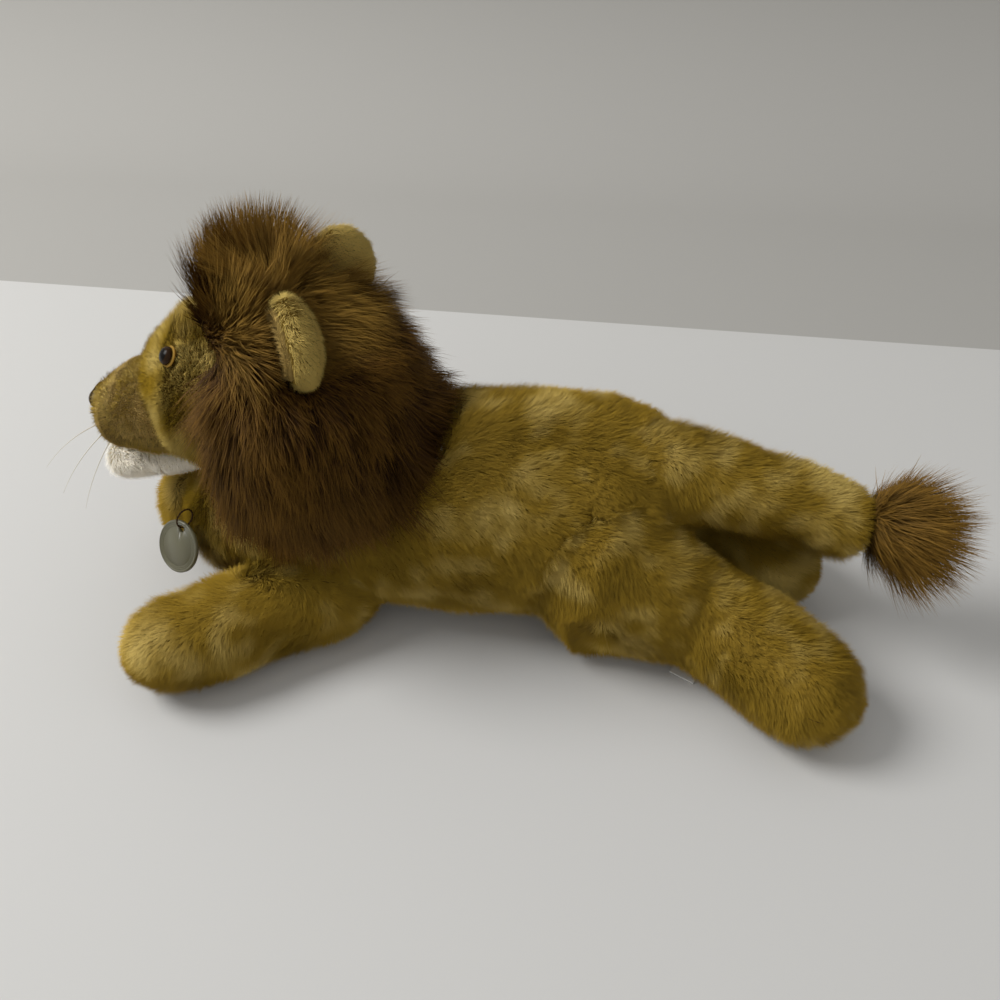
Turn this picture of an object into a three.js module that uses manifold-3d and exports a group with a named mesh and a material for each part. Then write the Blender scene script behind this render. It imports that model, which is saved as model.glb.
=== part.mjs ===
// A plush lion lying on its belly, sewn from fur fabric over soft stuffing.
// Lengths are in millimetres. The nose points along -X, the lion's left side along -Y, up is +Z.
// The origin is on the surface that it lies on, under the middle of the belly.

import * as THREE from 'three';
import { ConvexGeometry } from 'three/addons/geometries/ConvexGeometry.js';
import { mergeVertices } from 'three/addons/utils/BufferGeometryUtils.js';
import Module from 'manifold-3d';

const wasm = await Module();
wasm.setup();

// Cloth and clearances
const coverWall = 5; // backing cloth and the dense foot of its pile
const seamGap = 0.3; // between pieces that are sewn or pushed together
const swingGap = 0.65; // round a form that turns in its seam
const restDepth = 0.5; // how far a form is pressed flat where it lies

// Torso: a stuffed tube with a low chest, a round belly and a full rump
const chestReach = 136;
const shoulderReach = 70;
const hipReach = 58;
const rumpReach = 110;
const chestRadius = 27;
const shoulderRadius = 44;
const bellyRadius = 53.5;
const rumpRadius = 51;
const chestRound = 22;
const rumpRound = 44;
const shoulderSide = -3; // the body lies in a slight curve
const hipSide = 4;
const pelletBagLength = 84;
const pelletBagWidth = 44;
const pelletBagHeight = 30;

// Head: a skull in a ball of mane that rolls in the shoulders
const neckForward = 69;
const neckHeight = 108;
const maneRadius = 65.5;
const napeRadius = 200; // the flatter slope of the mane from the crown to the nape
const napeDepth = 17; // how far this slope lies inside the ball
const napeTilt = 46; // degrees from straight up to the back
const maneFaceForward = 30; // from the neck's centre to the mane's edge round the face
const maneFaceTilt = 4; // degrees that this edge leans, its foot forward
const crestForward = 17; // from the neck's centre to the tuft that stands over the forehead
const crestRise = 50;
const crestLength = 56;
const crestWidth = 68;
const crestHeight = 54;
const skullBack = 34;
const skullForward = 71;
const skullRadius = 45;
const browRadius = 38;
const skullRise = 2;
const browRise = 4;
const velourWall = 2.5;
const muzzleForward = 96;
const muzzleWidth = 19;
const muzzleHeight = 12.5;
const muzzleDrop = 21;
const muzzleRootWidth = 27;
const muzzleRootHeight = 20;
const muzzleRound = 10;
const chinForward = 101;
const chinWidth = 15;
const chinHeight = 9;
const chinDrop = 45;
const chinRootRise = 20;
const neckPlugRadius = 8;
const neckPlugDepth = 74; // from the neck's centre down into the shoulders
const headTurn = [-20, 20];
const headNod = [0, 15];

// Eyes: domes on felt, their shanks held inside by washers
const eyeRunShare = 2.27;
const eyeAngle = 50; // degrees round the skull from its side
const eyeRadius = 4.6;
const eyeDome = 3;
const eyeDomeSteps = 3;
const eyeShankRadius = 1.6;
const eyeShankLength = 11;
const eyeWasherRadius = 5.5;
const eyeWasherThickness = 1.4;
const eyeLinerRadius = 5.8;
const eyeLinerThickness = 0.8;

// Nose, mouth and whiskers
const noseWidth = 14;
const noseHeight = 12;
const noseThickness = 2.4;
const noseRunShare = 2.72;
const threadRadius = 0.7;
const mouthAngle = 38; // degrees below the muzzle's side
const mouthRunShares = [1.75, 2.2, 2.6]; // along the muzzle, from its root to its tip
const whiskerRadius = 0.35;
const whiskerLength = 34;
const whiskerReach = 26;
const whiskerDroop = 11;
const whiskerRows = 3;
const whiskerRunShare = 2 + 1 / 3; // on the first round of the muzzle's tip
const whiskerSpacing = 22.5; // degrees round the muzzle

// Ears: puffy cups, each turning where it is sewn to the skull
const earWidth = 38;
const earHeight = 32;
const earThickness = 19;
const earWall = 3.5;
const earLiningWall = 2;
const earRunShare = 0.76;
const leftEarAngle = 55; // degrees round the skull from its side
const rightEarAngle = 46; // it is sewn on a little lower than the left ear
const earTurn = 30; // degrees that its hollow turns from ahead to the side
const earFold = [-15, 15];

// Front legs
const shoulderForward = 57;
const shoulderSpread = 37;
const frontLegRadius = 24;
const leftFrontReach = 98;
const rightFrontReach = 108;
const frontAnkleRadius = 23;
const frontPawRadius = 22;
const leftFrontHeading = 215; // degrees from +X, turning towards +Y
const rightFrontHeading = 195;

// Hind legs: the right one is drawn up under the tail
const hipBack = 68;
const hipSpread = 31.5;
const thighWidth = 30; // half its width, round an upright axis
const thighHeight = 42; // half its height
const kneeReach = 45;
const kneeRadius = 26;
const hindPawWidth = 27;
const hindPawHeight = 25;
const leftHindReach = 121;
const rightHindReach = 108;
const leftKneeBend = 19; // towards +Y of a leg that points along +X
const rightKneeBend = 4;
const leftHindHeading = -27;
const rightHindHeading = -17;

// How far each leg swings from where it lies, in degrees: towards -angle and +angle
const leftFrontSwing = [-9, 15];
const rightFrontSwing = [-24, 0];
const leftHindSwing = [-18, 0];
const rightHindSwing = [0, 24];

// Pellets in each paw, and the opening where a leg is sewn on
const pawBagRadius = 15;
const pawBagHeight = 12;
const legMouthRadius = 12;
const stitchAngles = [28, 152]; // degrees round the paw
const stitchRunShares = [2.35, 2.5, 2.65];

// Tail
const tailRootBack = 96;
const tailRootHeight = 82;
const tailRootRadius = 22;
const tailReach = 86;
const tailMiddleRise = 3;
const tailDrop = 19;
const tailSide = 10;
const tailEndRadius = 17;
const tuftLength = 48;
const tuftRadius = 27;
const tuftOverlap = 8;
const tuftRise = 8;
const tailSwing = [-10, 12];

// Badge on its thread
const badgeRadius = 12.5;
const badgeThickness = 2;
const badgeRim = 2.4;
const badgeGroove = 0.5;
const badgeHoleRadius = 1.8;
const badgeHoleInset = 3.4;
const badgeRunShare = 0.92;
const badgeAngle = 40; // degrees round the chest from its side
const badgeTurn = 62; // degrees that its face turns from ahead to the lion's left
const badgeLean = 30; // degrees that its face looks up
const loopLength = 9;
const loopThreadRadius = 0.45;

// Label sewn in the seam of the left hind leg
const labelLength = 8;
const labelWidth = 12;
const labelThickness = 0.5;
const labelAlong = 46;

// Colours
const goldenPlush = '#8a7434';
const palePlush = '#9c8548';
const brownPile = '#5a3d1a';
const tanVelour = '#8a7040';
const creamPlush = '#d8d0bd';
const fibreWhite = '#e8e6df';
const cottonWhite = '#dcd9d0';
const threadBrown = '#3b2a18';
const noseBrown = '#4a4032';
const eyeBlack = '#17120d';
const feltAmber = '#7a6536';
const washerWhite = '#e4e4e0';
const badgeGrey = '#8f8c7e';
const labelWhite = '#f0efea';
const whiskerPale = '#cfc7b4';

const lion = new THREE.Group();
const quarterTurn = Math.PI / 2;
const up = new THREE.Vector3(0, 0, 1);

function radians(degrees) {
  return THREE.MathUtils.degToRad(degrees);
}

// Solids are joined and cut in one frame, then handed to named meshes
function solid(geometry, matrix = new THREE.Matrix4()) {
  const bare = geometry.clone().applyMatrix4(matrix);
  bare.deleteAttribute('normal');
  bare.deleteAttribute('uv');
  const merged = mergeVertices(bare);
  return new wasm.Manifold(new wasm.Mesh({
    numProp: 3,
    vertProperties: new Float32Array(merged.attributes.position.array),
    triVerts: new Uint32Array(merged.index.array),
  }));
}

function largestBody(cut) {
  return cut.decompose().sort((a, b) => b.volume() - a.volume())[0];
}

function addPiece(group, name, body, colour, roughness = 0.95) {
  const { vertProperties, triVerts } = largestBody(body).getMesh();
  const geometry = new THREE.BufferGeometry();
  geometry.setAttribute('position', new THREE.BufferAttribute(vertProperties, 3));
  geometry.setIndex(new THREE.BufferAttribute(triVerts, 1));
  geometry.computeVertexNormals();
  const material = new THREE.MeshStandardMaterial({ color: colour, roughness, metalness: 0 });
  const mesh = new THREE.Mesh(geometry, material);
  mesh.name = name;
  group.add(mesh);
}

function placed(position, turn = 0) {
  const turned = new THREE.Matrix4().makeRotationZ(radians(turn));
  return new THREE.Matrix4().makeTranslation(position).multiply(turned);
}

function subtractAll(body, cutters) {
  return cutters.reduce((rest, cutter) => rest.subtract(cutter), body);
}

function joinAll([first, ...others]) {
  return others.reduce((sum, other) => sum.add(other), first);
}

// A stuffed form swells and tapers round a smooth path and ends in round caps.
// Its skin is addressed by a run from 0 to 3 (start cap, middle, end cap) and an angle round it.
class StuffedForm {
  constructor(stations, startCap, endCap) {
    this.path = new THREE.CatmullRomCurve3(stations.map((s) => new THREE.Vector3(...s.at)));
    const girths = stations.map((s) => new THREE.Vector3(s.wide, s.tall, 0));
    this.girth = new THREE.CatmullRomCurve3(girths);
    this.widest = girths.reduce((most, girth) => most.clone().max(girth));
    this.startCap = startCap;
    this.endCap = endCap;
    this.length = this.path.getLength();
  }

  point(run, angle, grow = 0) {
    let distance = this.startCap + (run - 1) * (this.length - this.startCap - this.endCap);
    let swell = 1;
    if (run < 1) {
      distance = (this.startCap + grow) * (1 - Math.cos(run * quarterTurn)) - grow;
      swell = Math.sin(run * quarterTurn);
    }
    if (run > 2) {
      distance = this.length + grow - (this.endCap + grow) * (1 - Math.cos((3 - run) * quarterTurn));
      swell = Math.sin((3 - run) * quarterTurn);
    }
    const inside = THREE.MathUtils.clamp(distance, 0, this.length);
    const share = this.path.getUtoTmapping(inside / this.length);
    const tangent = this.path.getTangent(share);
    const across = new THREE.Vector3().crossVectors(tangent, up).normalize();
    const rise = new THREE.Vector3().crossVectors(across, tangent);
    const girth = this.girth.getPoint(share).min(this.widest).addScalar(grow).multiplyScalar(swell);
    return this.path.getPoint(share)
      .addScaledVector(tangent, distance - inside)
      .addScaledVector(across, girth.x * Math.cos(angle))
      .addScaledVector(rise, girth.y * Math.sin(angle));
  }

  outward(run, angle) {
    return this.point(run, angle, 1).sub(this.point(run, angle)).normalize();
  }

  geometry(detail, grow = 0) {
    const { sides, capRings, middleRings } = detail;
    const runs = [];
    for (let i = 1; i <= capRings; i++) runs.push(i / capRings);
    for (let i = 1; i <= middleRings; i++) runs.push(1 + i / middleRings);
    for (let i = 1; i < capRings; i++) runs.push(2 + i / capRings);
    const points = [this.point(0, 0, grow)];
    for (const run of runs) {
      for (let k = 0; k < sides; k++) points.push(this.point(run, (k / sides) * 4 * quarterTurn, grow));
    }
    points.push(this.point(3, 0, grow));
    const last = points.length - 1;
    const faces = [];
    for (let k = 0; k < sides; k++) {
      const next = (k + 1) % sides;
      faces.push(0, 1 + k, 1 + next);
      faces.push(last, last - sides + next, last - sides + k);
      for (let i = 0; i < runs.length - 1; i++) {
        const ring = 1 + i * sides;
        faces.push(ring + k, ring + sides + next, ring + next);
        faces.push(ring + k, ring + sides + k, ring + sides + next);
      }
    }
    const geometry = new THREE.BufferGeometry().setFromPoints(points);
    geometry.setIndex(faces);
    return geometry;
  }
}

const bodyDetail = { sides: 20, capRings: 3, middleRings: 6 };
const limbDetail = { sides: 16, capRings: 3, middleRings: 4 };
const spaceDetail = { sides: 12, capRings: 3, middleRings: 4 };
const roomDetail = { sides: 8, capRings: 2, middleRings: 2 };
const coreDetail = { sides: 10, capRings: 2, middleRings: 3 };
const smallDetail = { sides: 10, capRings: 2, middleRings: 2 };
const ballSegments = [20, 14];
const rootSegments = [14, 8];
const smallSegments = [10, 6];
const roundSegments = 12;

// The surface that the lion lies on, as a block to cut the resting forms flat
const floorSpan = 4 * (chestReach + rumpReach);
const floorBlock = solid(new THREE.BoxGeometry(floorSpan, floorSpan, floorSpan),
  new THREE.Matrix4().makeTranslation(0, 0, -floorSpan / 2));

// A round thread or strand along a curve
function strand(curve, radius, sides, steps) {
  const section = new THREE.Shape();
  for (let k = 0; k < sides; k++) {
    const angle = (k / sides) * 4 * quarterTurn;
    const corner = new THREE.Vector2(radius * Math.cos(angle), radius * Math.sin(angle));
    if (k === 0) section.moveTo(corner.x, corner.y);
    else section.lineTo(corner.x, corner.y);
  }
  return new THREE.ExtrudeGeometry(section, { steps, extrudePath: curve, bevelEnabled: false });
}

function ellipsoid(across, along, tall, segments = smallSegments) {
  return new THREE.SphereGeometry(1, ...segments).scale(across, along, tall);
}

// A frame whose third axis is a surface's outward normal and whose second leans towards a heading
function seatFrame(point, outward, heading) {
  const second = heading.clone().addScaledVector(outward, -heading.dot(outward)).normalize();
  const first = new THREE.Vector3().crossVectors(second, outward);
  return new THREE.Matrix4().makeBasis(first, second, outward).setPosition(point);
}

// Legs lie along +X of their own frame, with the root's round centre over the origin
function restingStation(along, wide, tall = wide, side = 0) {
  return { at: [along, side, tall - restDepth], wide, tall };
}

function frontLegForm(reach) {
  return new StuffedForm([
    restingStation(-frontLegRadius, frontLegRadius),
    restingStation(0, frontLegRadius),
    restingStation(reach - 2 * frontPawRadius, frontAnkleRadius),
    restingStation(reach, frontPawRadius),
  ], frontLegRadius, frontPawRadius);
}

function hindLegForm(reach, kneeBend) {
  return new StuffedForm([
    restingStation(-thighWidth, thighWidth, thighHeight),
    restingStation(0, thighWidth, thighHeight),
    restingStation(kneeReach, kneeRadius, kneeRadius, kneeBend),
    restingStation(reach, hindPawWidth, hindPawHeight),
  ], thighWidth, hindPawWidth);
}

const frontRoot = { wide: frontLegRadius, tall: frontLegRadius };
const hindRoot = { wide: thighWidth, tall: thighHeight };
const legs = [
  {
    name: 'front_leg_left',
    form: frontLegForm(leftFrontReach),
    pawAt: [leftFrontReach - frontPawRadius, 0],
    rootGirth: frontRoot,
    rootHeight: frontRoot.tall - restDepth,
    space: tightSpace,
    root: new THREE.Vector3(-shoulderForward, -shoulderSpread, 0),
    heading: leftFrontHeading,
    swing: leftFrontSwing,
  },
  {
    name: 'front_leg_right',
    form: frontLegForm(rightFrontReach),
    pawAt: [rightFrontReach - frontPawRadius, 0],
    rootGirth: frontRoot,
    rootHeight: frontRoot.tall - restDepth,
    space: tightSpace,
    root: new THREE.Vector3(-shoulderForward, shoulderSpread, 0),
    heading: rightFrontHeading,
    swing: rightFrontSwing,
  },
  {
    name: 'hind_leg_left',
    form: hindLegForm(leftHindReach, leftKneeBend),
    pawAt: [leftHindReach - hindPawWidth, 0],
    rootGirth: hindRoot,
    rootHeight: hindRoot.tall - restDepth,
    space: closeSpace,
    root: new THREE.Vector3(hipBack, -hipSpread, 0),
    heading: leftHindHeading,
    swing: leftHindSwing,
  },
  {
    name: 'hind_leg_right',
    form: hindLegForm(rightHindReach, rightKneeBend),
    pawAt: [rightHindReach - hindPawWidth, 0],
    rootGirth: hindRoot,
    rootHeight: hindRoot.tall - restDepth,
    space: closeSpace,
    root: new THREE.Vector3(hipBack, hipSpread, 0),
    heading: rightHindHeading,
    swing: rightHindSwing,
  },
];

// A ball with flat facets whose flats, too, stand off from a round form by the gap
function clearBall(wide, tall, segments) {
  const [around, upDown] = segments;
  const flatShare = Math.cos((2 * quarterTurn) / around) * Math.cos(quarterTurn / upDown);
  const across = (wide + swingGap) / flatShare;
  return ellipsoid(across, across, (tall + swingGap) / flatShare, segments);
}

// A form in the places that it swings through about the upright axis of its round root.
// A space has few sides, so it also stands off by as much as its flats cut in.
function swungCopies({ form, rootGirth, rootHeight, root, heading, swing: [low, high] }, detail) {
  const { wide, tall } = rootGirth;
  const flatDepth = Math.max(wide, tall) * (1 - Math.cos((2 * quarterTurn) / detail.sides));
  const limbs = [low, (low + high) / 2, high].map((swing) => (
    form.geometry(detail, swingGap + flatDepth).applyMatrix4(placed(root, heading + swing))));
  const ball = clearBall(wide, tall, rootSegments);
  return [ball.applyMatrix4(placed(root.clone().setZ(rootHeight))), ...limbs];
}

// A space that follows a bent form closely
function closeSpace(limb) {
  return joinAll(swungCopies(limb, spaceDetail).map((copy) => solid(copy)));
}

// A space that is drawn tight round all the places of a form with no hollow
function spaceRound(copies) {
  const corners = copies.flatMap(({ attributes: { position } }) => (
    Array.from({ length: position.count }, (_, i) => (
      new THREE.Vector3().fromBufferAttribute(position, i)))));
  return solid(new ConvexGeometry(corners));
}

function tightSpace(limb, detail) {
  return spaceRound(swungCopies(limb, detail));
}

// The neck's centre, round which the ball of the mane rolls in the shoulders
const neckCentre = new THREE.Vector3(-neckForward, 0, neckHeight);
const maneSpace = (segments) => (
  solid(clearBall(maneRadius, maneRadius, segments), placed(neckCentre)));

// The neck's plug of stuffing turns in the shoulders, and the head nods on its round top
function neckPlug(grow) {
  const plug = new THREE.CapsuleGeometry(neckPlugRadius + grow, neckPlugDepth - neckPlugRadius, 3, 10, 1);
  return plug.rotateX(quarterTurn).translate(0, 0, (neckPlugRadius - neckPlugDepth) / 2);
}

// Tail: a stuffed tube that swings about an upright axis inside the rump
const tailRoot = new THREE.Vector3(tailRootBack, 0, 0);
const tailForm = new StuffedForm([
  { at: [-tailRootRadius, 0, tailRootHeight], wide: tailRootRadius, tall: tailRootRadius },
  { at: [0, 0, tailRootHeight], wide: tailRootRadius, tall: tailRootRadius },
  {
    at: [tailReach / 2, -tailSide / 2, tailRootHeight + tailMiddleRise - tailDrop / 2],
    wide: (tailRootRadius + tailEndRadius) / 2,
    tall: (tailRootRadius + tailEndRadius) / 2,
  },
  { at: [tailReach, -tailSide, tailRootHeight - tailDrop], wide: tailEndRadius, tall: tailEndRadius },
], tailRootRadius, tailEndRadius / 2);
const tailLimb = {
  form: tailForm,
  rootGirth: { wide: tailRootRadius, tall: tailRootRadius },
  rootHeight: tailRootHeight,
  root: tailRoot,
  heading: 0,
  swing: tailSwing,
};

const torsoForm = new StuffedForm([
  restingStation(-chestReach, chestRadius, chestRadius, shoulderSide),
  restingStation(-shoulderReach, shoulderRadius, shoulderRadius, shoulderSide),
  restingStation(0, bellyRadius),
  restingStation(hipReach, bellyRadius, bellyRadius, hipSide),
  restingStation(rumpReach, rumpRadius, rumpRadius, hipSide),
], chestRound, rumpRound);

// A cloth bag of pellets that lies in the foot of a filling and shares its skin there
function bagIn(filling, geometry, matrix, group, name) {
  addPiece(group, name, filling.intersect(solid(geometry, matrix)), cottonWhite);
}

// Torso: the cover is open where the neck, the legs and the tail are sewn in
function addTorso() {
  const openings = legs.map((leg) => leg.space(leg, spaceDetail));
  openings.push(maneSpace(ballSegments), tightSpace(tailLimb, spaceDetail));
  const outside = subtractAll(solid(torsoForm.geometry(bodyDetail)).subtract(floorBlock), openings);
  const inside = solid(torsoForm.geometry(coreDetail, -coverWall));
  addPiece(lion, 'torso_cover', outside.subtract(inside), goldenPlush);

  const filling = solid(torsoForm.geometry(coreDetail, -coverWall - seamGap));
  const bag = (grow) => ellipsoid(
    pelletBagLength / 2 + grow, pelletBagWidth / 2 + grow, pelletBagHeight / 2 + grow);
  const bagPlace = placed(new THREE.Vector3(0, 0, pelletBagHeight / 2));
  const rooms = [...legs, tailLimb].map((limb) => tightSpace(limb, roomDetail));
  rooms.push(maneSpace(rootSegments), solid(neckPlug(swingGap), placed(neckCentre)));
  const packed = subtractAll(filling, rooms);
  addPiece(lion, 'torso_stuffing', packed.subtract(solid(bag(seamGap), bagPlace)), fibreWhite);
  bagIn(filling, bag(0), bagPlace, lion, 'belly_pellet_bag');
}

// The round opening in a limb's root, through which it is filled and sewn to the torso
function seamMouth(depth, height) {
  const hole = new THREE.CylinderGeometry(legMouthRadius, legMouthRadius, depth, roundSegments);
  return solid(hole.rotateZ(quarterTurn).translate(-depth, 0, height));
}

// Each leg is a cover, its stuffing, a small bag of pellets in the paw and two toe stitches
function addLeg({ name, form, pawAt, rootGirth, rootHeight, root, heading }) {
  const leg = new THREE.Group();
  leg.position.copy(root);
  leg.rotation.z = radians(heading);
  lion.add(leg);

  const mouth = seamMouth(rootGirth.wide, rootHeight);
  const inside = solid(form.geometry(coreDetail, -coverWall));
  const cover = solid(form.geometry(limbDetail)).subtract(floorBlock).subtract(inside).subtract(mouth);
  addPiece(leg, `${name}_cover`, cover, goldenPlush);

  const filling = solid(form.geometry(coreDetail, -coverWall - seamGap));
  const bag = (grow) => ellipsoid(pawBagRadius + grow, pawBagRadius + grow, pawBagHeight + grow);
  const bagPlace = placed(new THREE.Vector3(...pawAt, coverWall));
  addPiece(leg, `${name}_stuffing`, filling.subtract(solid(bag(seamGap), bagPlace)), fibreWhite);
  bagIn(filling, bag(0), bagPlace, leg, `${name}_pellets`);

  stitchAngles.forEach((angle, i) => {
    const points = stitchRunShares.map((run) => form.point(run, radians(angle), threadRadius + seamGap));
    const stitch = strand(new THREE.CatmullRomCurve3(points), threadRadius, 6, 4);
    addPiece(leg, `${name}_toe_stitch_${i + 1}`, solid(stitch), threadBrown);
  });
  if (name === 'hind_leg_left') addLabel(leg);
}

// Label: a folded satin strip sewn in under the leg, lying flat and just peeping out
function addLabel(leg) {
  const top = labelThickness + 2 * seamGap;
  const underLeg = Math.sqrt(2 * kneeRadius * (top + restDepth + labelThickness));
  const label = new THREE.BoxGeometry(labelWidth, labelLength, labelThickness);
  label.translate(labelAlong, leftKneeBend - underLeg - labelLength / 2, seamGap + labelThickness / 2);
  addPiece(leg, 'sewn_label', solid(label), labelWhite, 0.6);
}

// Tail: cover, stuffing, and a tuft of long pile sewn on its end
function addTail() {
  const tail = new THREE.Group();
  tail.position.copy(tailRoot);
  lion.add(tail);
  const tuftAt = tailForm.point(3, 0)
    .addScaledVector(tailForm.outward(3, 0), tuftLength / 2 - tuftOverlap)
    .addScaledVector(up, tuftRise);
  const tuft = solid(ellipsoid(tuftLength / 2, tuftRadius, tuftRadius), placed(tuftAt));
  const outside = solid(tailForm.geometry(limbDetail));
  const inside = solid(tailForm.geometry(coreDetail, -coverWall));
  const mouth = seamMouth(tailRootRadius, tailRootHeight);
  addPiece(tail, 'tail_cover', outside.subtract(inside).subtract(mouth), palePlush);
  addPiece(tail, 'tail_stuffing', solid(tailForm.geometry(coreDetail, -coverWall - seamGap)), fibreWhite);
  addPiece(tail, 'tail_tuft', tuft.subtract(solid(tailForm.geometry(limbDetail, seamGap))), brownPile);
}

// Head forms, in the head's own frame round the neck's centre
const head = new THREE.Group();
head.position.copy(neckCentre);

const skullForm = new StuffedForm([
  { at: [skullBack, 0, skullRise], wide: skullRadius, tall: skullRadius },
  { at: [0, 0, skullRise], wide: skullRadius, tall: skullRadius },
  { at: [-skullForward, 0, browRise], wide: browRadius, tall: browRadius },
], skullRadius, browRadius);

const muzzleForm = new StuffedForm([
  { at: [-skullForward / 2, 0, -muzzleDrop / 2], wide: muzzleRootWidth, tall: muzzleRootHeight },
  { at: [-skullForward, 0, -muzzleDrop / 2], wide: muzzleRootWidth, tall: muzzleRootHeight },
  { at: [-muzzleForward, 0, -muzzleDrop], wide: muzzleWidth, tall: muzzleHeight },
], muzzleHeight, muzzleRound);

const chinForm = new StuffedForm([
  { at: [-skullForward / 2, 0, chinRootRise - chinDrop], wide: chinWidth, tall: chinHeight },
  { at: [-skullForward, 0, chinRootRise / 3 - chinDrop], wide: chinWidth, tall: chinHeight },
  { at: [-chinForward, 0, -chinDrop], wide: chinWidth, tall: chinHeight },
], chinHeight, chinHeight);

const sides = [
  { name: 'left', angleOf: (angle) => 180 - angle, side: -1, earAngle: leftEarAngle },
  { name: 'right', angleOf: (angle) => angle, side: 1, earAngle: rightEarAngle },
];

// The room in the head for its plug, which leans back as the head nods up
function plugSpace() {
  return spaceRound(headNod.map((nod) => neckPlug(swingGap).rotateY(-radians(nod))));
}

// Ear frames stand on the skull, with +Y towards the hollow of the cup
function earFrame({ angleOf, side, earAngle }) {
  const angle = radians(angleOf(earAngle));
  const outward = skullForm.outward(earRunShare, angle);
  const seat = skullForm.point(earRunShare, angle, seamGap);
  const heading = new THREE.Vector3(-Math.cos(radians(earTurn)), side * Math.sin(radians(earTurn)), 0);
  return seatFrame(seat, outward, heading);
}

function earBody(wall, forward) {
  const body = ellipsoid(earWidth / 2 - wall, earThickness / 2 - wall / 2, earHeight / 2 - wall);
  return body.translate(0, forward, earHeight / 2);
}

// The room in the mane for an ear in all its folds
function earSpace(entry) {
  const folds = [...earFold, 0];
  return spaceRound(folds.map((fold) => (
    earBody(-swingGap, 0).rotateX(radians(fold)).applyMatrix4(earFrame(entry)))));
}

function addEar(entry) {
  const ear = new THREE.Group();
  ear.applyMatrix4(earFrame(entry));
  head.add(ear);
  const hollow = solid(earBody(earWall, earThickness / 4));
  addPiece(ear, `ear_${entry.name}_back`, solid(earBody(0, 0)).subtract(hollow), goldenPlush);
  const open = solid(earBody(earWall + earLiningWall, earThickness / 4 + 2 * earLiningWall));
  const lining = solid(earBody(earWall + seamGap, earThickness / 4)).subtract(open);
  addPiece(ear, `ear_${entry.name}_lining`, lining.intersect(solid(earBody(0, 0))), palePlush);
}

// Eye frames stand on the skull, with +Y upwards
function eyeFrame({ angleOf }) {
  const angle = radians(angleOf(eyeAngle));
  return seatFrame(skullForm.point(eyeRunShare, angle), skullForm.outward(eyeRunShare, angle), up);
}

function roundPiece(profile) {
  const points = profile.map(([radius, height]) => new THREE.Vector2(radius, height));
  return new THREE.LatheGeometry(points, roundSegments).rotateX(quarterTurn);
}

const washerSink = coverWall + seamGap;
const eyeSeat = 2 * seamGap + eyeLinerThickness;

function addEye(entry) {
  const eye = new THREE.Group();
  eye.applyMatrix4(eyeFrame(entry));
  head.add(eye);
  const dome = roundPiece([
    [0, eyeSeat - eyeShankLength],
    [eyeShankRadius, eyeSeat - eyeShankLength],
    [eyeShankRadius, eyeSeat],
    ...Array.from({ length: eyeDomeSteps }, (_, i) => {
      const rise = (i / eyeDomeSteps) * quarterTurn;
      return [eyeRadius * Math.cos(rise), eyeSeat + eyeDome * Math.sin(rise)];
    }),
    [0, eyeSeat + eyeDome],
  ]);
  addPiece(eye, `eye_${entry.name}`, solid(dome), eyeBlack, 0.15);
  const liner = shankRing(eyeLinerRadius, seamGap, eyeLinerThickness);
  addPiece(eye, `eye_liner_${entry.name}`, liner, feltAmber);
  const washer = shankRing(eyeWasherRadius, -washerSink - eyeWasherThickness, eyeWasherThickness);
  addPiece(eye, `eye_washer_${entry.name}`, washer, washerWhite, 0.6);
}

function shankRing(radius, foot, thickness) {
  const bore = eyeShankRadius + seamGap;
  return solid(roundPiece([
    [bore, foot],
    [radius, foot],
    [radius, foot + thickness],
    [bore, foot + thickness],
    [bore, foot],
  ]));
}

function shaftInEyeFrame(entry, radius, foot, top) {
  const shaft = new THREE.CylinderGeometry(radius, radius, top - foot, roundSegments).rotateX(quarterTurn);
  return solid(shaft.translate(0, 0, (top + foot) / 2), eyeFrame(entry));
}

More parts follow.
